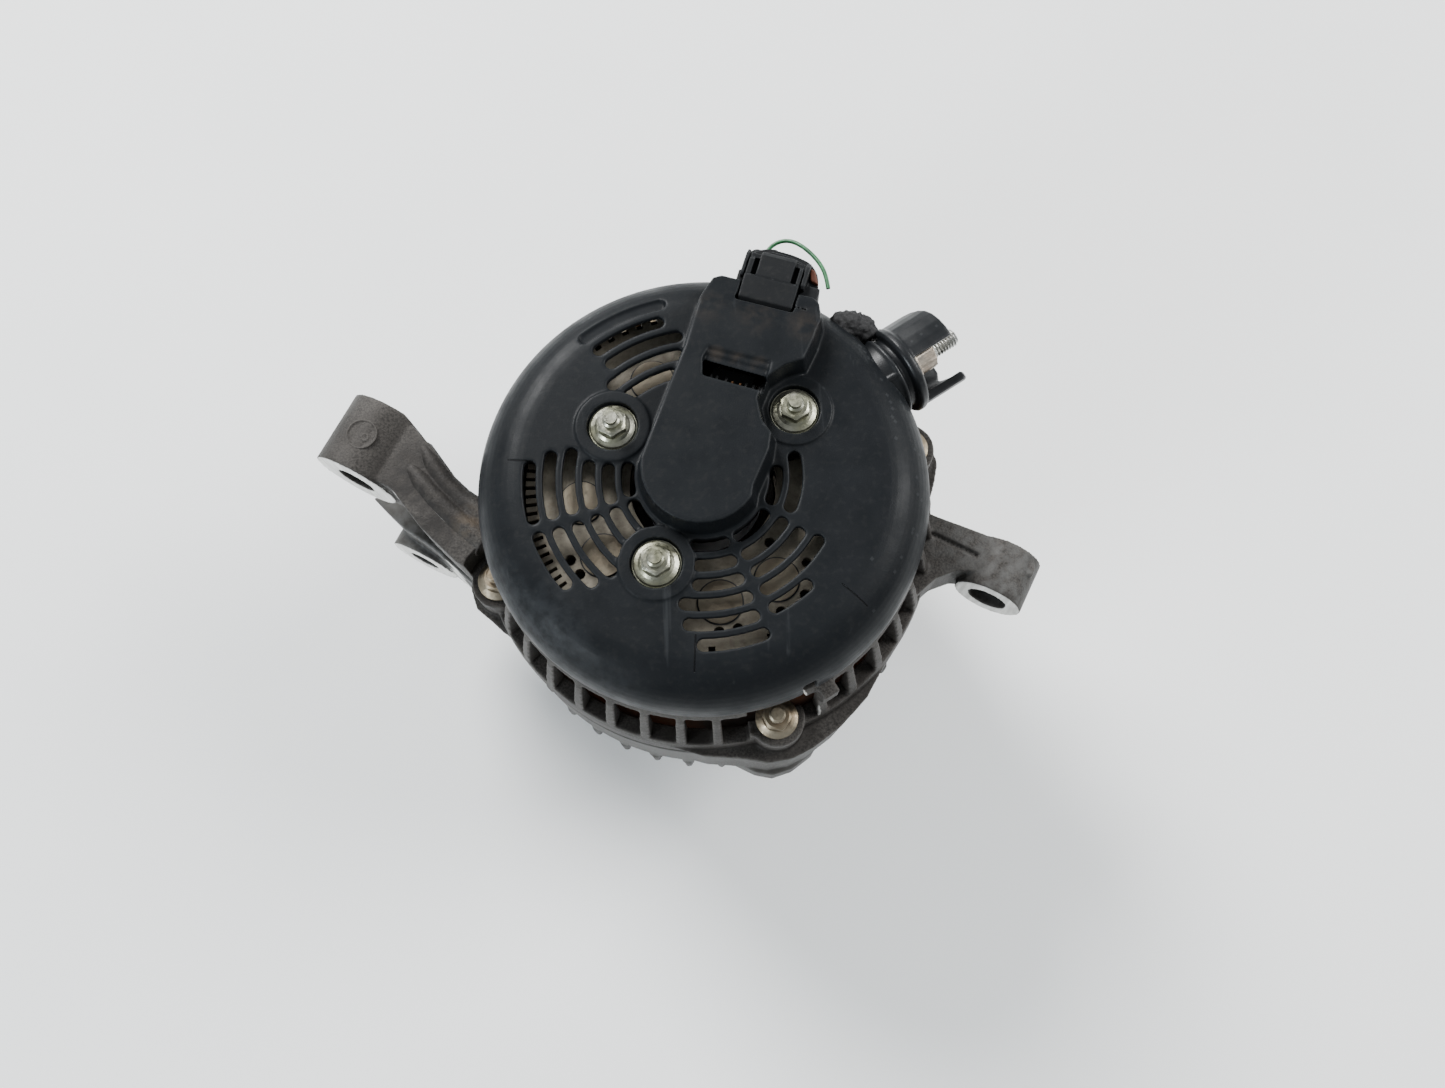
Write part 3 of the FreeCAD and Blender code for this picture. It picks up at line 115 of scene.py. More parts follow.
class Tree:
    """Small builder for one procedural material; places are in metres of the part's frame."""

    def __init__(self, name):
        self.material = bpy.data.materials.new(name)
        self.material.use_nodes = True
        self.tree = self.material.node_tree
        self.shader = self.tree.nodes["Principled BSDF"]
        self.where = self.add("ShaderNodeTexCoord").outputs["Object"]
        self.heights = []

    def add(self, kind, **props):
        node = self.tree.nodes.new(kind)
        for key, value in props.items():
            setattr(node, key, value)
        return node

    def link(self, source, socket):
        """Joins an output to a socket, or sets the socket to a plain value."""
        if hasattr(source, "links"):
            self.tree.links.new(source, socket)
        else:
            socket.default_value = source

    def set(self, **values):
        """Uniform values, straight on the shader's sockets."""
        for key, value in values.items():
            self.shader.inputs[key.replace("_", " ")].default_value = value

    def noise(self, scale, detail=2.0, stretch=None, rough=0.5):
        """Cloud of values about 0.5; stretch scales the axes apart."""
        node = self.add("ShaderNodeTexNoise")
        node.inputs["Scale"].default_value = scale
        node.inputs["Detail"].default_value = detail
        node.inputs["Roughness"].default_value = rough
        source = self.where
        if stretch:
            mapping = self.add("ShaderNodeMapping")
            mapping.inputs["Scale"].default_value = stretch
            self.link(source, mapping.inputs["Vector"])
            source = mapping.outputs["Vector"]
        self.link(source, node.inputs["Vector"])
        return node.outputs["Fac"]

    def math(self, operation, a, b=0.0, clamp=False):
        node = self.add("ShaderNodeMath", operation=operation, use_clamp=clamp)
        self.link(a, node.inputs[0])
        self.link(b, node.inputs[1])
        return node.outputs[0]

    def fit(self, value, low, high, to_low=0.0, to_high=1.0):
        """Carries the range low to high onto to_low to to_high, held at its ends."""
        node = self.add("ShaderNodeMapRange")
        self.link(value, node.inputs["Value"])
        for key, number in (("From Min", low), ("From Max", high), ("To Min", to_low), ("To Max", to_high)):
            node.inputs[key].default_value = number
        return node.outputs["Result"]

    def ramp(self, value, *stops):
        """Colour by value; each stop is (position, colour)."""
        node = self.add("ShaderNodeValToRGB")
        self.link(value, node.inputs["Fac"])
        elements = node.color_ramp.elements
        while len(elements) < len(stops):
            elements.new(0.5)
        for element, (spot, colour) in zip(elements, stops):
            element.position = spot
            element.color = (*colour, 1)
        return node.outputs["Color"]

    def mix(self, share, a, b):
        """Colour a, going over to colour b as share rises to 1."""
        node = self.add("ShaderNodeMix", data_type="RGBA")
        self.link(share, node.inputs["Factor"])
        for value, socket in ((a, node.inputs["A"]), (b, node.inputs["B"])):
            if hasattr(value, "links"):
                self.link(value, socket)
            else:
                socket.default_value = (*value, 1)
        return node.outputs["Result"]

    def facing(self, axis, low=0.5, high=0.95):
        """1 where the surface faces along an axis."""
        geometry = self.add("ShaderNodeNewGeometry")
        node = self.add("ShaderNodeVectorMath", operation="DOT_PRODUCT")
        self.link(geometry.outputs["Normal"], node.inputs[0])
        node.inputs[1].default_value = axis
        return self.fit(node.outputs["Value"], low, high)

    def along(self, axis):
        """How far along an axis a point lies, in metres."""
        node = self.add("ShaderNodeVectorMath", operation="DOT_PRODUCT")
        self.link(self.where, node.inputs[0])
        node.inputs[1].default_value = axis
        return node.outputs["Value"]

    def near(self, point, inner, outer):
        """1 within inner of a point, 0 past outer, in metres."""
        node = self.add("ShaderNodeVectorMath", operation="DISTANCE")
        self.link(self.where, node.inputs[0])
        node.inputs[1].default_value = point
        return self.fit(node.outputs["Value"], inner, outer, 1.0, 0.0)

    def edges(self, low=0.51, high=0.56):
        """1 on worn outer edges."""
        geometry = self.add("ShaderNodeNewGeometry")
        return self.fit(geometry.outputs["Pointiness"], low, high)

    def crevice_shade(self, low=0.44, high=0.49):
        """1 in tight inner corners, where painted shade goes."""
        geometry = self.add("ShaderNodeNewGeometry")
        return self.fit(geometry.outputs["Pointiness"], low, high, 1.0, 0.0)

    def stain(self, skin, spots):
        """Local patches of dust and scuffs, and spots of painted sheen and shade; each spot is (place, inner,
        outer in mm, colour, share).
        """
        for place, inner, outer, tint, share in spots:
            patch = self.near(Vector(place) * MM, inner * MM, outer * MM)
            broken = self.fit(self.noise(330.0, 5.0), 0.36, 0.62, 0.0, share)
            patch = self.math("MULTIPLY", patch, broken, True)
            skin = self.mix(patch, skin, tint)
        return skin

    def crease(self, angle, low, high):
        """1 along a fine radial line between two radii, in mm."""
        a = math.radians(angle)
        ahead = self.along((math.cos(a), math.sin(a), 0))
        aside = self.math("ABSOLUTE", self.along((-math.sin(a), math.cos(a), 0)))
        span = self.math("MULTIPLY", self.fit(ahead, (low - 0.3) * MM, low * MM),
                         self.fit(ahead, high * MM, (high + 0.3) * MM, 1.0, 0.0))
        return self.math("MULTIPLY", span, self.fit(aside, 0.1 * MM, 0.28 * MM, 1.0, 0.0))

    def base(self, colour):
        self.link(colour, self.shader.inputs["Base Color"])

    def rough(self, value):
        self.link(value, self.shader.inputs["Roughness"])

    def bump(self, height, distance, strength=1.0):
        """Adds to the bumps so far; distance is in metres."""
        node = self.add("ShaderNodeBump")
        node.inputs["Strength"].default_value = strength
        node.inputs["Distance"].default_value = distance
        self.link(height, node.inputs["Height"])
        if self.heights:
            self.link(self.heights[-1], node.inputs["Normal"])
        self.heights.append(node.outputs["Normal"])
        self.link(node.outputs["Normal"], self.shader.inputs["Normal"])


def shaded(colour, share):
    """A colour made darker or lighter by a factor."""
    return tuple(min(1.0, c * share) for c in colour)


def plastic(name, colour, rough=0.42, dust=0.25, spots=(), creases=(), lip=None, sheen=0.3):
    """Moulded black plastic with fine grain, scuffs and dust; its flow lines are darkened with painted shade.

    creases: (angle, low, high) of each flow line; lip: height of the pale strip along a
    cover's lower edge, in mm."""
    t = Tree(name)
    cloud = t.noise(35.0, 5.0)
    deep = t.mix(t.fit(cloud, 0.35, 0.7), shaded(colour, 0.92), shaded(colour, 1.1))
    specks = t.fit(t.noise(500.0, 6.0), 0.52, 0.8, 0.0, dust)
    film = t.math("MULTIPLY", t.facing((0, 0, 1), 0.2, 0.9), specks)
    deep = t.mix(film, deep, (0.05, 0.047, 0.043))
    scratch = t.fit(t.noise(260.0, 3.0, stretch=(1.0, 0.06, 1.0)), 0.68, 0.76, 0.0, 0.18)
    deep = t.mix(scratch, deep, (0.06, 0.064, 0.068))
    deep = t.mix(t.math("MULTIPLY", t.edges(), 0.25), deep, (0.05, 0.053, 0.056))
    if lip:
        height = t.along((0, 0, 1))
        strip = t.fit(height, (lip - 0.2) * MM, lip * MM, 1.0, 0.0)
        deep = t.mix(strip, deep, (0.028, 0.03, 0.031))
        rim = t.fit(height, (lip - 2.1) * MM, (lip - 1.9) * MM, 1.0, 0.0)
        deep = t.mix(rim, deep, (0.16, 0.15, 0.12))
    deep = t.stain(deep, spots)
    # Flow lines: a dip in the bump, its colour darkened as painted shade.
    for line in creases:
        cut = t.crease(*line)
        deep = t.mix(cut, deep, shaded(colour, 0.3))
        t.bump(t.math("SUBTRACT", 1.0, cut), 0.0003, 0.8)
    t.base(deep)
    t.set(Specular_IOR_Level=sheen)
    t.rough(t.fit(t.noise(120.0, 4.0), 0.3, 0.7, rough - 0.07, rough + 0.12))
    t.bump(t.noise(2600.0, 2.0), 0.00006, 0.6)
    t.bump(t.noise(90.0, 2.0), 0.0003, 0.12)
    return t.material


def cast_metal(name, colour, dirt, faces=(), sand=1.0, spots=()):
    """Die-cast aluminium, sandy and dirty, with painted shade in tight corners, bright where it is machined.

    faces: (axis, distance along it in metres) of each machined plane."""
    t = Tree(name)
    cloud = t.noise(40.0, 6.0)
    speck = t.noise(1500.0, 3.0, rough=0.7)
    spread = 0.45 * sand
    skin = t.mix(t.fit(speck, 0.4, 0.6), shaded(colour, 1 - spread), shaded(colour, 1 + spread))
    skin = t.mix(t.fit(cloud, 0.4, 0.66, 0.0, 0.85), skin, dirt)
    skin = t.stain(skin, spots)
    # Painted shade: tight inner corners darkened to a deeper tone of the dirt colour.
    skin = t.mix(t.math("MULTIPLY", t.crevice_shade(), 0.75), skin, shaded(dirt, 0.35))
    skin = t.mix(t.math("MULTIPLY", t.edges(), 0.5), skin, shaded(colour, 1.7))
    rough = t.fit(speck, 0.3, 0.7, 0.48, 0.72)
    cut = None
    for axis, far in faces:
        level = t.math("ABSOLUTE", t.math("SUBTRACT", t.along(axis), far))
        mark = t.math("MULTIPLY", t.fit(level, 0.0004, 0.0009, 1.0, 0.0), t.facing(axis, 0.7, 0.9))
        cut = mark if cut is None else t.math("MAXIMUM", cut, mark)
    if cut is not None:
        lines = t.noise(700.0, 2.0, stretch=(1.0, 1.0, 0.15))
        bright = t.mix(t.fit(lines, 0.35, 0.65), (0.50, 0.49, 0.46), (0.72, 0.71, 0.68))
        skin = t.mix(cut, skin, bright)
        rough = t.math("SUBTRACT", rough, t.math("MULTIPLY", cut, 0.22))
    t.base(skin)
    t.rough(rough)
    t.set(Metallic=0.4, Specular_IOR_Level=0.3)
    t.bump(speck, 0.00022 * sand, 0.7)
    t.bump(t.noise(220.0, 3.0), 0.0004 * sand, 0.35)
    return t.material


def plated_steel(name, colour, tint, rough=0.32, stain=0.4):
    """Zinc-plated steel with a passivation tint, dull spots and painted shade in its corners."""
    t = Tree(name)
    skin = t.mix(t.fit(t.noise(160.0, 4.0), 0.35, 0.65), colour, tint)
    skin = t.mix(t.fit(t.noise(420.0, 5.0), 0.55, 0.75, 0.0, stain), skin, shaded(colour, 0.4))
    # Painted shade: tight inner corners darkened.
    t.base(t.mix(t.math("MULTIPLY", t.crevice_shade(), 0.7), skin, (0.08, 0.07, 0.055)))
    t.rough(t.fit(t.noise(700.0, 3.0), 0.3, 0.7, rough - 0.08, rough + 0.16))
    t.set(Metallic=0.95)
    t.bump(t.noise(1500.0, 2.0), 0.00008, 0.5)
    return t.material


def turned_steel(name, colour, rough=0.3, rust=0.0):
    """Lathe-turned steel with rings round the shaft."""
    t = Tree(name)
    rings = t.noise(1600.0, 2.0, stretch=(0.05, 0.05, 1.0))
    skin = t.mix(t.fit(rings, 0.35, 0.65), shaded(colour, 0.8), colour)
    spots = t.fit(t.noise(140.0, 6.0), 0.52, 0.7, 0.0, rust)
    t.base(t.mix(spots, skin, (0.20, 0.085, 0.03)))
    t.rough(t.math("ADD", t.fit(rings, 0.3, 0.7, rough, rough + 0.12), t.math("MULTIPLY", spots, 0.35)))
    t.set(Metallic=0.9)
    t.bump(rings, 0.00006, 0.6)
    return t.material


def beige_plate(name):
    """Extruded rectifier plate, chalky with oxide."""
    t = Tree(name)
    skin = t.mix(t.fit(t.noise(120.0, 5.0), 0.35, 0.68), (0.11, 0.097, 0.073), (0.215, 0.195, 0.155))
    skin = t.mix(t.fit(t.noise(700.0, 4.0), 0.5, 0.75, 0.0, 0.5), skin, (0.075, 0.06, 0.043))
    t.base(skin)
    t.rough(t.fit(t.noise(300.0, 3.0), 0.3, 0.7, 0.45, 0.7))
    t.set(Metallic=0.45)
    t.bump(t.noise(800.0, 3.0), 0.00012, 0.6)
    return t.material


def copper_wire(name):
    """Enamelled copper, wound in turns."""
    t = Tree(name)
    turns = t.noise(900.0, 1.0, stretch=(1.0, 1.0, 0.3))
    t.base(t.mix(t.fit(turns, 0.35, 0.65), (0.04, 0.016, 0.008), (0.26, 0.105, 0.045)))
    t.rough(t.fit(t.noise(200.0, 3.0), 0.3, 0.7, 0.28, 0.5))
    t.set(Metallic=0.7)
    t.bump(turns, 0.0005, 0.7)
    return t.material


def rusty_core(name):
    """Edge of the stator's stacked sheets, rusted."""
    t = Tree(name)
    sheets = t.noise(1400.0, 1.0, stretch=(0.03, 0.03, 1.0))
    skin = t.mix(t.fit(t.noise(70.0, 6.0), 0.4, 0.62), (0.05, 0.04, 0.034), (0.17, 0.065, 0.025))
    t.base(t.mix(t.fit(sheets, 0.4, 0.6, 0.0, 0.5), skin, (0.05, 0.04, 0.035)))
    t.rough(t.fit(sheets, 0.3, 0.7, 0.6, 0.85))
    t.set(Metallic=0.3)
    t.bump(sheets, 0.0003, 0.8)
    return t.material


def soft_rubber(name, colour, rough=0.75, lumps=1.0):
    """Dull rubber, nylon or carbon with fine lumps."""
    t = Tree(name)
    cloud = t.fit(t.noise(150.0, 5.0), 0.4, 0.7)
    t.base(t.mix(cloud, shaded(colour, 0.6), shaded(colour, 1.3)))
    t.rough(t.fit(t.noise(500.0, 3.0), 0.3, 0.7, rough - 0.1, rough + 0.1))
    t.bump(t.noise(600.0, 4.0), 0.0004 * lumps, 0.6)
    return t.material


def insulation(name):
    """Green wire insulation, softly shiny."""
    t = Tree(name)
    t.base(t.mix(t.fit(t.noise(300.0, 3.0), 0.35, 0.65), (0.012, 0.085, 0.028), (0.03, 0.17, 0.06)))
    t.rough(t.fit(t.noise(900.0, 2.0), 0.3, 0.7, 0.33, 0.5))
    t.bump(t.noise(1800.0, 2.0), 0.00005, 0.5)
    return t.material


EAR = (-0.5, -math.sqrt(3) / 2, 0.0)  # outward axis of the ears' bores


def ear_plane(x, y):
    """Machined plane of an ear: its outward axis and its place along it."""
    return EAR, (x * EAR[0] + y * EAR[1]) * MM


def cover_plastic():
    """Black cover: pale scuffs with painted sheen low down on its left, brown dust on the bridge, three flow
    lines darkened as painted shade.
    """
    scuff_and_sheen, brown = (0.075, 0.082, 0.09), (0.06, 0.046, 0.034)
    # The pale bluish spots low on the left are scuffs and painted sheen.
    spots = [((-50, -45, 141), 2, 20, scuff_and_sheen, 0.28), ((-62, -28, 137), 2, 16, scuff_and_sheen, 0.2),
             ((-30, -60, 138), 3, 14, scuff_and_sheen, 0.15), ((4, 49, 156), 1, 7, brown, 0.2),
             ((18, 45, 155), 1, 8, brown, 0.2), ((32, 41, 155), 1, 7, brown, 0.25)]
    spots += [((x, y, 156), 1, 3, brown, 0.3) for x, y in ((6, 33.5), (12, 31.5), (18, 29.5))]
    return plastic("cover_plastic", (0.0072, 0.0084, 0.0098), 0.42, 0.12, spots,
                   [(-43, 51, 60), (-95, 47, 57), (172, 49, 56)], lip=132.2, sheen=0.1)


def castings():
    """Both housings' metal: browner and sandier at the rear, painted shade and a darker tone on the left arm,
    ash-grey dirt on the ears.
    """
    ash, arm_shade_and_tone, earth = (0.095, 0.095, 0.092), (0.016, 0.0145, 0.0135), (0.13, 0.10, 0.07)
    # The first rear spot, a dark patch on the left arm, is painted shade between its swellings with a darker
    # tone.
    rear = cast_metal("rear_casting", (0.05, 0.046, 0.042), (0.017, 0.0145, 0.0125),
                      (ear_plane(-111.2, 17.9), ear_plane(87.0, -30.7)),
                      spots=[((-84, 9, 121), 12, 22, arm_shade_and_tone, 0.8), ((-72, -2, 121), 1, 7, earth, 0.5),
                             ((94, -25, 106), 8, 24, ash, 0.7), ((78, -12, 106), 4, 16, ash, 0.5)])
    front = cast_metal("front_casting", (0.075, 0.073, 0.069), (0.03, 0.027, 0.023),
                       (ear_plane(-102.8, 5.6),), 0.4, [((-96, 6, 74), 14, 34, ash, 0.8)])
    return rear, front


def paint_nodes():
    """Gives every CAD node its material; returns the materials by node."""
    shades = {}

    def paint(material, *names):
        for name in names:
            NODES[name].data.materials.clear()
            NODES[name].data.materials.append(material)
            shades[name] = material

    paint(cover_plastic(), "rear_cover")
    paint(plastic("plug_plastic", (0.0075, 0.0083, 0.0093), 0.5, 0.15, sheen=0.12),
          "harness_plug", "latch_lever", "regulator")
    paint(plastic("terminal_plastic", (0.0075, 0.0085, 0.0098), 0.36, 0.1), "terminal_insulator")
    paint(plastic("moulded_ring", (0.01, 0.01, 0.0105), 0.6), "terminal_ring", "brush_holder")
    rear, front = castings()
    paint(rear, "rear_housing")
    paint(front, "front_housing")
    paint(cast_metal("forged_claw", (0.16, 0.15, 0.14), (0.08, 0.05, 0.035)),
          "front_claw_pole", "rear_claw_pole")
    paint(plated_steel("zinc_plate", (0.34, 0.34, 0.285), (0.28, 0.28, 0.19)),
          "cover_nuts", "rectifier_studs")
    paint(plated_steel("aged_zinc", (0.30, 0.265, 0.20), (0.21, 0.165, 0.11), 0.4, 0.7),
          "through_bolts", "through_bolt_nuts", "bearing_plate_screws", "bearing_plate")
    paint(plated_steel("bright_zinc", (0.74, 0.74, 0.72), (0.62, 0.62, 0.58), 0.25), "output_stud")
    paint(plated_steel("tinned_brass", (0.60, 0.55, 0.47), (0.48, 0.40, 0.32), 0.38), "output_nut")
    paint(plated_steel("diode_cup", (0.215, 0.19, 0.145), (0.16, 0.135, 0.10), 0.4),
          "plus_diodes", "minus_diodes")
    paint(plated_steel("fan_steel", (0.34, 0.33, 0.31), (0.26, 0.23, 0.2), 0.45), "front_fan", "rear_fan")
    paint(beige_plate("rectifier_plate"),
          "rectifier_plus_plate", "rectifier_minus_plate", "regulator_heat_sink")
    paint(copper_wire("copper_wire"), "stator_winding", "field_coil")
    paint(rusty_core("rusty_core"), "stator_core")
    paint(turned_steel("turned_steel", (0.45, 0.45, 0.46)),
          "rotor_shaft", "spacer_collar", "front_bearing_outer", "front_bearing_inner",
          "rear_bearing_outer", "rear_bearing_inner", "front_bearing_cage", "rear_bearing_cage")
    paint(turned_steel("polished_balls", (0.62, 0.62, 0.63), 0.12),
          "front_bearing_balls", "rear_bearing_balls")
    paint(turned_steel("pulley_steel", (0.26, 0.26, 0.27), 0.33, 0.35), "pulley", "pulley_nut")
    paint(turned_steel("slip_copper", (0.62, 0.33, 0.17), 0.2), "slip_rings")
    paint(turned_steel("spring_steel", (0.6, 0.6, 0.6), 0.25), "brush_spring_1", "brush_spring_2")
    paint(soft_rubber("nylon", (0.5, 0.47, 0.38), 0.5, 0.3), "field_bobbin")
    paint(soft_rubber("phenolic", (0.12, 0.05, 0.025), 0.5, 0.3), "slip_ring_sleeve")
    paint(soft_rubber("carbon", (0.03, 0.028, 0.026), 0.6, 0.5), "brush_1", "brush_2")
    paint(soft_rubber("black_rubber", (0.014, 0.014, 0.015), 0.8, 2.0), "rubber_sleeve", "wire_stubs")
    paint(soft_rubber("seal_rubber", (0.03, 0.022, 0.018), 0.65),
          "front_bearing_shields", "rear_bearing_shields")
    paint(insulation("green_insulation"), "green_wire")
    return shades


# ------------------------------------------------------------------ shape building


def turned(x, y, angle):
    """A place in plan, turned about the shaft by an angle in degrees."""
    a = math.radians(angle)
    return x * math.cos(a) - y * math.sin(a), x * math.sin(a) + y * math.cos(a)


def polar_frame(azimuth, side=0.0):
    """Turns reach outwards along an azimuth, place across it and height into a place."""

    def where(reach, across, height):
        return Vector((*turned(reach, across + side, azimuth), height))

    return where


def rounded(corners, radius, steps=5):
    """Outline with each corner replaced by a smooth curve."""
    outline = []
    count = len(corners)
    for i, corner in enumerate(corners):
        here = Vector(corner)
        back = Vector(corners[i - 1]) - here
        ahead = Vector(corners[(i + 1) % count]) - here
        trim = min(radius, 0.45 * back.length, 0.45 * ahead.length)
        first, last = here + back.normalized() * trim, here + ahead.normalized() * trim
        for k in range(steps + 1):
            f = k / steps
            outline.append(tuple(first * (1 - f) ** 2 + here * 2 * f * (1 - f) + last * f ** 2))
    return outline


class Form:
    """Closed shapes in millimetres, fused and softened into one moulded piece."""

    def __init__(self):
        self.verts, self.faces = [], []

    def skin(self, rings, closed=False):
        """Surface through rings of equal count; closed joins the last ring to the first."""
        base, n, count = len(self.verts), len(rings[0]), len(rings)
        self.verts += [Vector(p) for ring in rings for p in ring]
        faces = [] if closed else [tuple(reversed(range(n))), tuple(range((count - 1) * n, count * n))]
        for k in range(count if closed else count - 1):
            a, b = k * n, (k + 1) % count * n
            faces += [(a + i, a + (i + 1) % n, b + (i + 1) % n, b + i) for i in range(n)]
        self.faces += [tuple(base + i for i in face) for face in faces]
        return self

    def prism(self, outline, low, high, where, inset=0.0):
        """Outline of (reach, across) corners between two heights, its top drawn in by inset."""
        middle = sum((Vector(p) for p in outline), Vector((0, 0))) / len(outline)
        top = []
        for point in outline:
            out = Vector(point) - middle
            top.append(tuple(middle + out * (1 - inset / max(out.length, 0.1))))
        return self.skin([[where(*p, low) for p in outline], [where(*p, high) for p in top]])

    def wall(self, profile, start, end, where):
        """Profile of (reach, height) corners carried across from start to end."""
        return self.skin([[where(u, v, z) for u, z in profile] for v in (end, start)])

    def box(self, u, v, z, where):
        """Block between two places along each axis."""
        return self.prism([(u[0], v[0]), (u[1], v[0]), (u[1], v[1]), (u[0], v[1])], z[0], z[1], where)

    def lathe(self, profile, origin, axis=(0, 0, 1), steps=64):
        """Closed profile of (radius, height) corners turned about an axis."""
        turn = Vector(axis).to_track_quat("Z", "Y").to_matrix()
        rings = []
        for k in range(steps):
            a = math.radians(360.0 * k / steps)
            rings.append([Vector(origin) + turn @ Vector((r * math.cos(a), r * math.sin(a), h))
                          for r, h in profile])
        return self.skin(rings, closed=True)

    def rod(self, points, radii, steps=16):
        """Round bar through points, with a radius at each."""
        points = [Vector(p) for p in points]
        angles = [2 * math.pi * i / steps for i in range(steps)]
        rings = []
        for k, (point, radius) in enumerate(zip(points, radii)):
            ahead = points[min(k + 1, len(points) - 1)] - points[max(k - 1, 0)]
            turn = ahead.to_track_quat("Z", "Y").to_matrix()
            rings.append([point + turn @ Vector((radius * math.cos(a), radius * math.sin(a), 0))
                          for a in angles])
        return self.skin(rings)

    def mesh(self, name):
        """Mesh in metres, its faces all turned outwards."""
        mesh = bpy.data.meshes.new(name)
        mesh.from_pydata([v * MM for v in self.verts], [], self.faces)
        work = bmesh.new()
        work.from_mesh(mesh)
        bmesh.ops.recalc_face_normals(work, faces=work.faces)
        work.to_mesh(mesh)
        work.free()
        return mesh

    def make(self, name, material, body, nodes=(), voxel=0.3, soften=2, less=None, roughen=None):
        """Builds the piece and rides it on its body, in place of its CAD nodes.

        voxel: mesh size in mm, or None to keep the shapes as drawn; soften: smoothing passes;
        less: a Form cut out of it; roughen: (size, depth) of lumps, in mm."""
        obj = bpy.data.objects.new(name, self.mesh(name))
        bpy.context.scene.collection.objects.link(obj)
        tool = None
        if less:
            tool = bpy.data.objects.new(name + "_tool", less.mesh(name + "_tool"))
            bpy.context.scene.collection.objects.link(tool)
            step = obj.modifiers.new("cut", "BOOLEAN")
            step.object, step.operation, step.solver = tool, "DIFFERENCE", "EXACT"
            step.use_self = True
        if voxel:
            step = obj.modifiers.new("fuse", "REMESH")
            step.mode, step.voxel_size, step.use_smooth_shade = "VOXEL", voxel * MM, True
            step = obj.modifiers.new("soften", "SMOOTH")
            step.factor, step.iterations = 0.5, soften
        solved = obj.evaluated_get(bpy.context.evaluated_depsgraph_get())
        shape = bpy.data.meshes.new_from_object(solved)
        shape.name = name
        obj.modifiers.clear()
        obj.data = shape
        if tool:
            bpy.data.objects.remove(tool)
        if roughen:
            size, depth = roughen
            normals = [v.normal.copy() for v in shape.vertices]
            for vertex, normal in zip(shape.vertices, normals):
                swell = noise.fractal(vertex.co / (size * MM), 0.8, 2.1, 4)
                vertex.co += normal * swell * depth * MM
        shape.materials.clear()
        shape.materials.append(material)
        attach(obj, body)
        if nodes:
            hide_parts(*nodes)


def nut_rings(across, low, high, chamfer, turn=0.0, steps=72):
    """Rings of a hexagon whose top corners are turned off at 30 degrees."""
    corner = across / math.sqrt(3) - 0.12
    foot = 0.2
    rings = []
    for z in [low, low + foot] + [high - chamfer * f for f in (1.0, 0.75, 0.5, 0.25, 0.0)]:
        limit = corner
        if z > high - chamfer:
            limit -= (z - high + chamfer) / math.tan(math.radians(30))
        if z == low:
            limit -= foot
        ring = []
        for k in range(steps):
            a = 360.0 * k / steps
            flat = across / 2 / math.cos(math.radians((a + 30) % 60 - 30))
            ring.append((*turned(max(min(flat, limit), 0.3), 0, a + turn), z))
        rings.append(ring)
    return rings


def thread_rings(radius, low, high, pitch, depth, steps=24):
    """Rings of a screw thread, each turned a little from the one below; its end tapers off."""
    rings_a_turn = 8
    taper = 0.5
    rings = []
    count = int((high - low) / pitch * rings_a_turn)
    for k in range(count + 1):
        z = low + (high - low) * k / count
        fade = min(1.0, (high - z) / pitch)
        ring = []
        for i in range(steps):
            a = 2 * math.pi * i / steps
            phase = (z / pitch - i / steps) % 1.0
            r = radius - depth * abs(2 * phase - 1) - (1 - fade) * taper
            ring.append((r * math.cos(a), r * math.sin(a), z))
        rings.append(ring)
    return rings


def along_axis(rings, origin, axis):
    """Rings drawn round Z, carried onto an axis."""
    turn = Vector(axis).to_track_quat("Z", "Y").to_matrix()
    return [[Vector(origin) + turn @ Vector(p) for p in ring] for ring in rings]


# ------------------------------------------------------------------ moulded pieces

# Places in millimetres, angles in degrees, as in the part.
TERMINAL_ANGLE = 30.0
TERMINAL_HEIGHT = 132.0
TERMINAL = polar_frame(TERMINAL_ANGLE)
TERMINAL_BASE = Vector((0, 0, TERMINAL_HEIGHT))
OUTWARDS = Vector((*turned(1, 0, TERMINAL_ANGLE), 0))
PLUG = polar_frame(71.0, -5.5)
SHELL_BASE, SHELL_TOP, ROOF_TOP = 133.0, 147.4, 149.4
LEVER_BASE = 150.3
LEVER_SIDES = (-6.4, 10.0)
NUT_ACROSS = 8.0
OUTPUT_NUT_ACROSS = 10.0
COVER_NUTS = ((-25.1, 16.2), (-14.1, -25.6), (27.8, 17.9))
BOLT_CIRCLE = 68.0
BOLT_START = 15.3
CAST_DISC = (-105.6, 28.2, 123.2)
DIODE_CIRCLE = 36.0
DIODE_ANGLES = (112, 186, 214, 275, 303, 347)
WIRE_DIAMETER = 1.3
ROUND = 96  # facets round the finest turned shapes

# CAD pieces to be rounded: node, voxel in millimetres, smoothing passes.
MOULDED = (("rear_cover", 0.38, 5), ("rear_housing", 0.55, 3), ("front_housing", 0.55, 3),
           ("regulator", 0.35, 2), ("terminal_ring", 0.4, 1))


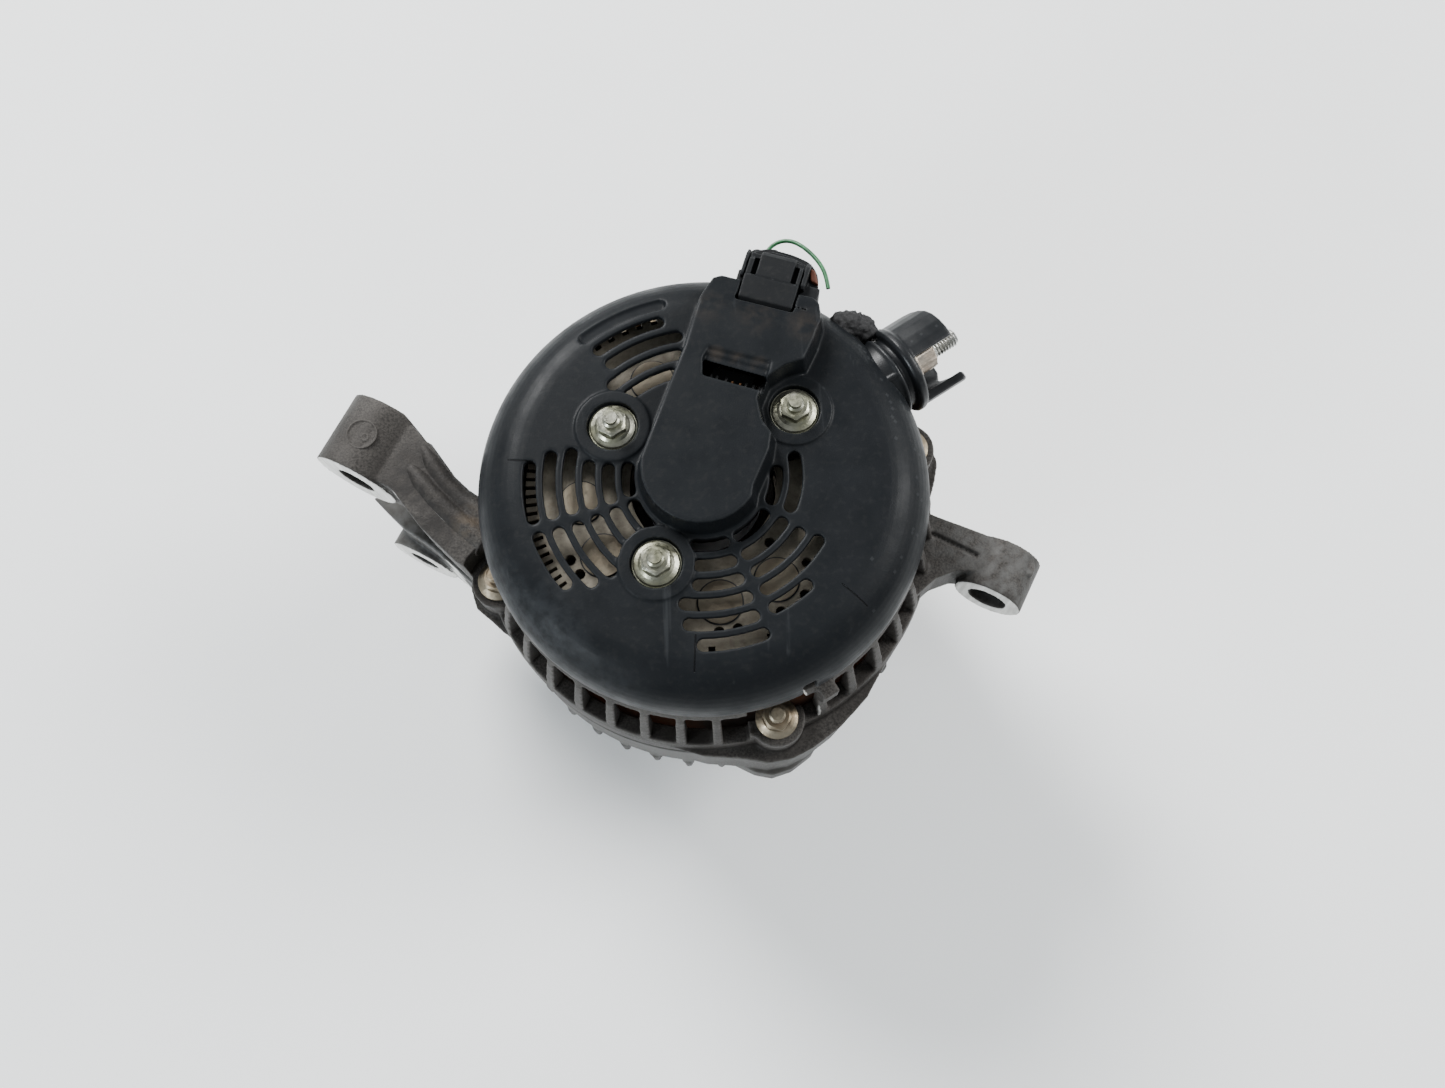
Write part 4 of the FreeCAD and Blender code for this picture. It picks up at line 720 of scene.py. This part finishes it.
def build_plug(material, rusty):
    """Harness plug: shell with roof, flank ribs, round lobes at its mouth, sockets, red lock tab."""
    outline = [(57.5, -11.2), (66.0, -12.0), (70.2, -11.0), (73.8, -7.8), (75.2, -2.0), (75.4, 6.5),
               (73.0, 10.6), (68.0, 12.0), (62.6, 12.6), (57.5, 12.2)]
    roof = [(57.5, -8.4), (71.6, -8.0), (74.0, -1.0), (74.0, 6.0), (70.2, 10.4), (57.5, 11.4)]
    rib = [(61.9, 147.0), (71.5, 147.0), (71.8, 150.2), (69.5, 151.9), (63.0, 152.7), (61.9, 152.0)]
    shell = Form().prism(rounded(outline, 2.2), SHELL_BASE, SHELL_TOP, PLUG, 0.3)
    shell.prism(rounded(roof, 2.0), 147.0, ROOF_TOP, PLUG, 1.0)
    for low, high in ((-8.1, -6.7), (10.5, 11.6)):
        shell.wall(rib, low, high, PLUG)
    for across, reach in ((9.2, 75.2), (4.4, 76.4)):
        lobe = [PLUG(70.0, across, 143.6), PLUG(reach - 0.8, across, 143.8), PLUG(reach, across, 143.8)]
        shell.rod(lobe, [2.3, 2.3, 1.5])
    sockets = Form()
    for across in (-6, -2, 2, 6):
        sockets.rod([PLUG(55.0, across, 140.6), PLUG(65.0, across, 140.6)], [1.1, 1.1])
    shell.make("plug_shell", material, "plug", ["harness_plug"], less=sockets)
    tab = rounded([(66.4, -11.9), (71.2, -9.6), (71.8, -7.6), (67.0, -8.6)], 0.8)
    Form().prism(tab, 145.6, 148.4, PLUG, 0.4).make("plug_lock", rusty, "plug", voxel=0.25)


def build_lever(material):
    """Thumb lever of the plug: front bar, two slots, raised middle."""
    low, high = LEVER_SIDES
    bar = [(53.2, LEVER_BASE), (62.2, LEVER_BASE), (62.2, 153.6), (61.4, 154.0), (54.4, 153.7), (53.2, 152.8)]
    thumb = [(61.0, LEVER_BASE), (69.6, LEVER_BASE), (71.4, 150.2), (71.2, 151.6), (69.4, 152.8),
             (66.0, 153.3), (61.0, 153.4)]
    side = [(61.0, LEVER_BASE), (69.0, LEVER_BASE), (69.4, 151.4), (67.4, 152.9), (61.0, 153.4)]
    heel = [(68.6, LEVER_BASE), (70.4, LEVER_BASE), (70.4, 151.3), (68.6, 151.8)]
    lever = Form().wall(bar, low, high, PLUG)
    lever.wall(thumb, -3.7, 6.9, PLUG)
    lever.wall(side, low, low + 1.1, PLUG)
    lever.wall(side, high - 1.5, high, PLUG)
    lever.wall(heel, low, high, PLUG)
    lever.prism([(60.8, 1.0), (64.2, 1.0), (64.2, 3.0), (60.8, 3.0)], 149.2, 150.6, PLUG)
    lever.make("plug_lever", material, "latch", ["latch_lever"], voxel=0.22)


def build_wire_ends(material, copper):
    """Wires cut short where they leave the plug."""
    strands = 5
    for number, (across, reach) in enumerate(((9.4, 76.8), (4.2, 77.6), (-3.2, 76.2))):
        sheath = [PLUG(70.8, across, 140.0), PLUG(reach - 1.4, across, 140.2), PLUG(reach, across, 140.5)]
        stub = Form().rod(sheath, [1.25, 1.25, 1.15], 20)
        stub.make("cut_wire_%d" % (number + 1), material, "plug", ["wire_stubs"], voxel=0.2, soften=1)
        core = Form()
        for k in range(strands):
            du, dv = turned(0.45, 0, 360 / strands * k)
            start = PLUG(reach - 0.8, across + du, 140.4 + dv)
            end = PLUG(reach + 0.25, across + du, 140.5 + dv)
            core.rod([start, end], [0.2, 0.2], 8)
        core.make("cut_strands_%d" % (number + 1), copper, "plug", voxel=None)


def build_wire(material):
    """Green wire end, curling back towards the terminal."""
    route = [(22.9, 69.8, 140.4), (23.0, 72.6, 140.9), (24.6, 74.9, 141.6), (27.6, 76.2, 142.5),
             (30.9, 75.6, 143.5), (34.0, 73.2, 144.5), (36.8, 69.8, 145.2), (39.2, 65.8, 145.8),
             (40.6, 61.5, 146.0), (40.9, 57.4, 145.8)]
    data = bpy.data.curves.new("green_cord", "CURVE")
    data.dimensions = "3D"
    data.bevel_depth = WIRE_DIAMETER / 2 * MM
    data.bevel_resolution = 6
    data.resolution_u = 12
    data.use_fill_caps = True
    spline = data.splines.new("NURBS")
    spline.points.add(len(route) - 1)
    for point, spot in zip(spline.points, route):
        point.co = (*(c * MM for c in spot), 1.0)
    spline.order_u = 3
    spline.use_endpoint_u = True
    data.materials.append(material)
    cord = bpy.data.objects.new("green_cord", data)
    bpy.context.scene.collection.objects.link(cord)
    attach(cord, "plug")
    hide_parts("green_wire")


def terminal_rim(angle, reach):
    """Section of the hood's wall at an angle round the stud, as long as reach."""
    a = math.radians(angle)
    corners = [(10.7, 71.5), (13.4, 71.5), (13.4, reach - 0.6), (12.9, reach), (11.1, reach),
               (10.7, reach - 0.5)]
    return [TERMINAL(t, r * math.cos(a), TERMINAL_HEIGHT + r * math.sin(a)) for r, t in corners]


def build_terminal(material):
    """Output terminal's moulding: collar, grooved flange, hood over the stud, prong below it."""
    collar = [(4.1, 52.0), (10.2, 52.0), (10.6, 60.0), (12.2, 65.4), (12.9, 66.4), (12.8, 67.0), (11.2, 67.5),
              (11.2, 69.4), (13.3, 69.7), (14.0, 70.5), (14.0, 71.9), (13.4, 72.8), (4.1, 72.9)]
    hood = [(-8, 79.4), (6, 80.4), (18, 81.6), (30, 83.4), (40, 85.0), (50, 85.9), (62, 86.3), (76, 86.5),
            (90, 86.6), (103, 86.6)]
    prong = [(178, 86.8), (186, 87.8), (194, 88.3), (202, 88.0), (209, 86.6), (216, 84.6), (223, 83.0),
             (230, 82.6), (238, 83.6), (247, 84.8), (258, 85.2), (272, 84.8), (290, 83.0), (310, 81.0),
             (330, 79.6), (352, 79.4)]
    form = Form().lathe(collar, TERMINAL_BASE, OUTWARDS, ROUND)
    for edge in (hood, prong):
        form.skin([terminal_rim(*spot) for spot in edge])
    for angle in (110, 250, 20):
        a = math.radians(angle)
        ends = [TERMINAL(reach, r * math.cos(a), TERMINAL_HEIGHT + r * math.sin(a))
                for reach, r in ((60.0, 10.4), (66.4, 12.0))]
        form.rod(ends, [0.9, 0.9], 12)
    form.make("terminal_guard", material, "housing", ["terminal_insulator"])


def build_terminal_metal(brass, zinc):
    """Terminal's nut and stud."""
    washer = [(4.0, 74.7), (6.7, 74.7), (6.8, 75.0), (6.8, 75.6), (6.3, 76.0), (4.0, 76.2)]
    shank = [(0.02, 48.0), (4.0, 48.0), (4.0, 73.0), (5.6, 73.0), (5.6, 74.6), (4.0, 74.6), (4.0, 83.0),
             (0.02, 83.0)]
    nut = Form()
    nut.skin(along_axis(nut_rings(OUTPUT_NUT_ACROSS, 75.6, 82.8, 0.9, 12.0), TERMINAL_BASE, OUTWARDS))
    nut.lathe(washer, TERMINAL_BASE, OUTWARDS, 64)
    nut.make("terminal_nut", brass, "housing", ["output_nut"], voxel=None, roughen=(1.2, 0.12))
    stud = Form().lathe(shank, TERMINAL_BASE, OUTWARDS, 48)
    stud.skin(along_axis(thread_rings(3.0, 82.6, 92.0, 1.0, 0.55, 32), TERMINAL_BASE, OUTWARDS))
    stud.make("terminal_stud", zinc, "housing", ["output_stud"], voxel=None)


def flange_nut(form, place, hexagon, *flanges):
    """Hexagon and its turned flanges, at a place in plan."""
    x, y = place
    form.skin([[(x + px, y + py, z) for px, py, z in ring] for ring in hexagon])
    for flange in flanges:
        form.lathe(flange, (x, y, 0), steps=ROUND)


def build_nuts(zinc, aged):
    """Flange nuts: three that hold the cover, four on the through bolts."""
    hexagon = nut_rings(NUT_ACROSS, 148.6, 151.8, 0.55)
    skirt = [(2.6, 146.4), (6.5, 146.4), (6.7, 146.7), (6.7, 147.3), (6.4, 147.6), (5.2, 148.2), (4.4, 148.9),
             (2.6, 149.0)]
    washer = [(5.6, 146.3), (7.15, 146.3), (7.2, 146.6), (7.0, 146.85), (5.6, 146.85)]
    cover = Form()
    for place in COVER_NUTS:
        flange_nut(cover, place, hexagon, skirt, washer)
    cover.make("cover_flange_nuts", zinc, "housing", ["cover_nuts"], voxel=None)
    hexagon = nut_rings(NUT_ACROSS, 111.0, 115.2, 0.55, 20.0)
    skirt = [(2.6, 110.0), (6.4, 110.0), (6.5, 110.3), (6.4, 110.9), (5.4, 111.5), (4.4, 112.2), (2.6, 112.3)]
    bolts = Form()
    for k in range(4):
        flange_nut(bolts, turned(BOLT_CIRCLE, 0, BOLT_START + 90.0 * k), hexagon, skirt)
    bolts.make("bolt_flange_nuts", aged, "housing", ["through_bolt_nuts"], voxel=None)


def build_sleeve(material):
    """Torn rubber sleeve lying against the cover beside the terminal."""
    lump = Form()
    lump.rod([TERMINAL(60.6, 21.6, 137.4), TERMINAL(61.8, 20.8, 138.6), TERMINAL(65.0, 18.6, 138.4),
              TERMINAL(68.4, 15.0, 137.4), TERMINAL(70.2, 12.6, 136.0)], [1.6, 3.6, 4.6, 4.0, 2.4], 24)
    lump.rod([TERMINAL(65.4, 20.6, 137.0), TERMINAL(67.6, 17.4, 139.6), TERMINAL(70.4, 14.6, 138.6)],
             [2.0, 3.2, 1.8], 20)
    lump.rod([TERMINAL(61.0, 18.0, 135.4), TERMINAL(64.5, 14.5, 136.2), TERMINAL(68.5, 12.4, 134.4)],
             [1.8, 3.0, 2.4], 20)
    lump.make("torn_sleeve", material, "housing", ["rubber_sleeve"], voxel=0.4, roughen=(2.6, 0.75))


def build_ear_shapes(material):
    """Swellings along the left ear's arm, the cast disc on its boss, the bump by the right ear."""
    lower = [(-93.2, 20.6, 117.4), (-91.2, 17.6, 117.6), (-87.6, 12.6, 117.8), (-83.6, 7.7, 117.9),
             (-78.8, 2.4, 117.9), (-73.8, -2.5, 117.6), (-68.0, -8.0, 117.0)]
    upper = [(-89.8, 27.2, 117.4), (-87.4, 24.2, 117.8), (-84.4, 18.6, 118.2), (-80.2, 12.0, 118.3),
             (-75.6, 7.0, 118.2), (-71.0, 3.0, 118.0), (-65.0, -2.6, 117.4)]
    arm = Form().rod(lower, [1.6, 3.2, 4.0, 4.1, 4.3, 4.6, 4.8], 28)
    arm.rod(upper, [1.5, 2.8, 3.4, 3.5, 3.6, 4.0, 4.4], 28)
    arm.make("left_arm_swellings", material, "housing", voxel=0.45, soften=3)
    x, y, z = CAST_DISC
    plate = [(0.02, 0.0), (5.0, 0.0), (5.0, 0.75), (4.7, 0.95), (4.3, 0.8), (4.1, 0.62), (0.02, 0.7)]
    ring = [(0.8, 0.6), (1.3, 0.6), (1.3, 0.85), (0.8, 0.85)]
    disc = Form().lathe(plate, (x, y, z), steps=72)
    disc.lathe(ring, (x + 1.0, y - 1.2, z), steps=32)
    disc.make("cast_disc", material, "housing", voxel=0.25)
    knob = Form().rod([(89.0, -15.4, 107.2), (89.8, -15.8, 108.6)], [3.0, 2.2], 24)
    knob.make("right_arm_bump", material, "housing", voxel=0.35, soften=3)


def build_diode_joints(material):
    """Dark press-fit joint round each upper diode."""
    section = [(6.31, 138.9), (6.75, 138.9), (6.75, 139.26), (6.5, 139.32), (6.31, 139.3)]
    joints = Form()
    for angle in DIODE_ANGLES:
        joints.lathe(section, (*turned(DIODE_CIRCLE, 0, angle), 0), steps=64)
    joints.make("diode_joints", material, "housing", voxel=None)


def build_window_ribs(material, copper):
    """Regulator's upright ribs and copper lead ends, seen through the bridge's window."""
    ribs = Form()
    for across, wide in ((11.0, 0.8), (9.2, 0.8), (6.4, 0.7), (0.4, 0.7), (-1.8, 0.9), (-3.6, 0.8)):
        ribs.box((26.9, 29.6), (across - wide / 2, across + wide / 2), (145.6, 150.6), PLUG)
    ribs.box((26.9, 29.9), (-4.4, 12.0), (144.8, 146.6), PLUG)
    ribs.make("regulator_ribs", material, "housing", voxel=0.25)
    leads = Form()
    for across in (4.6, 2.2):
        bend = [PLUG(27.0, across, 146.0), PLUG(27.4, across, 148.8), PLUG(29.2, across, 149.6)]
        leads.rod(bend, [0.5, 0.5, 0.45], 12)
    leads.make("copper_leads", copper, "housing", voxel=None)


def soften_castings():
    """Rounds the CAD shapes the way moulds and dies leave them."""
    for name, voxel, times in MOULDED:
        step = NODES[name].modifiers.new("fuse", "REMESH")
        step.mode, step.voxel_size, step.use_smooth_shade = "VOXEL", voxel * MM, True
        step = NODES[name].modifiers.new("soften", "SMOOTH")
        step.factor, step.iterations = 0.5, times


make_camera()
shades = paint_nodes()
build_wire(shades["green_wire"])
make_stage()
build_plug(shades["harness_plug"], soft_rubber("rusty_tab", (0.11, 0.035, 0.018), 0.6))
build_lever(shades["latch_lever"])
build_wire_ends(shades["wire_stubs"], copper_wire("bare_strands"))
build_terminal(shades["terminal_insulator"])
build_terminal_metal(shades["output_nut"], shades["output_stud"])
build_nuts(shades["cover_nuts"], shades["through_bolt_nuts"])
build_sleeve(shades["rubber_sleeve"])
build_ear_shapes(shades["rear_housing"])
build_diode_joints(shades["brush_holder"])
build_window_ribs(shades["brush_holder"], shades["slip_rings"])
soften_castings()
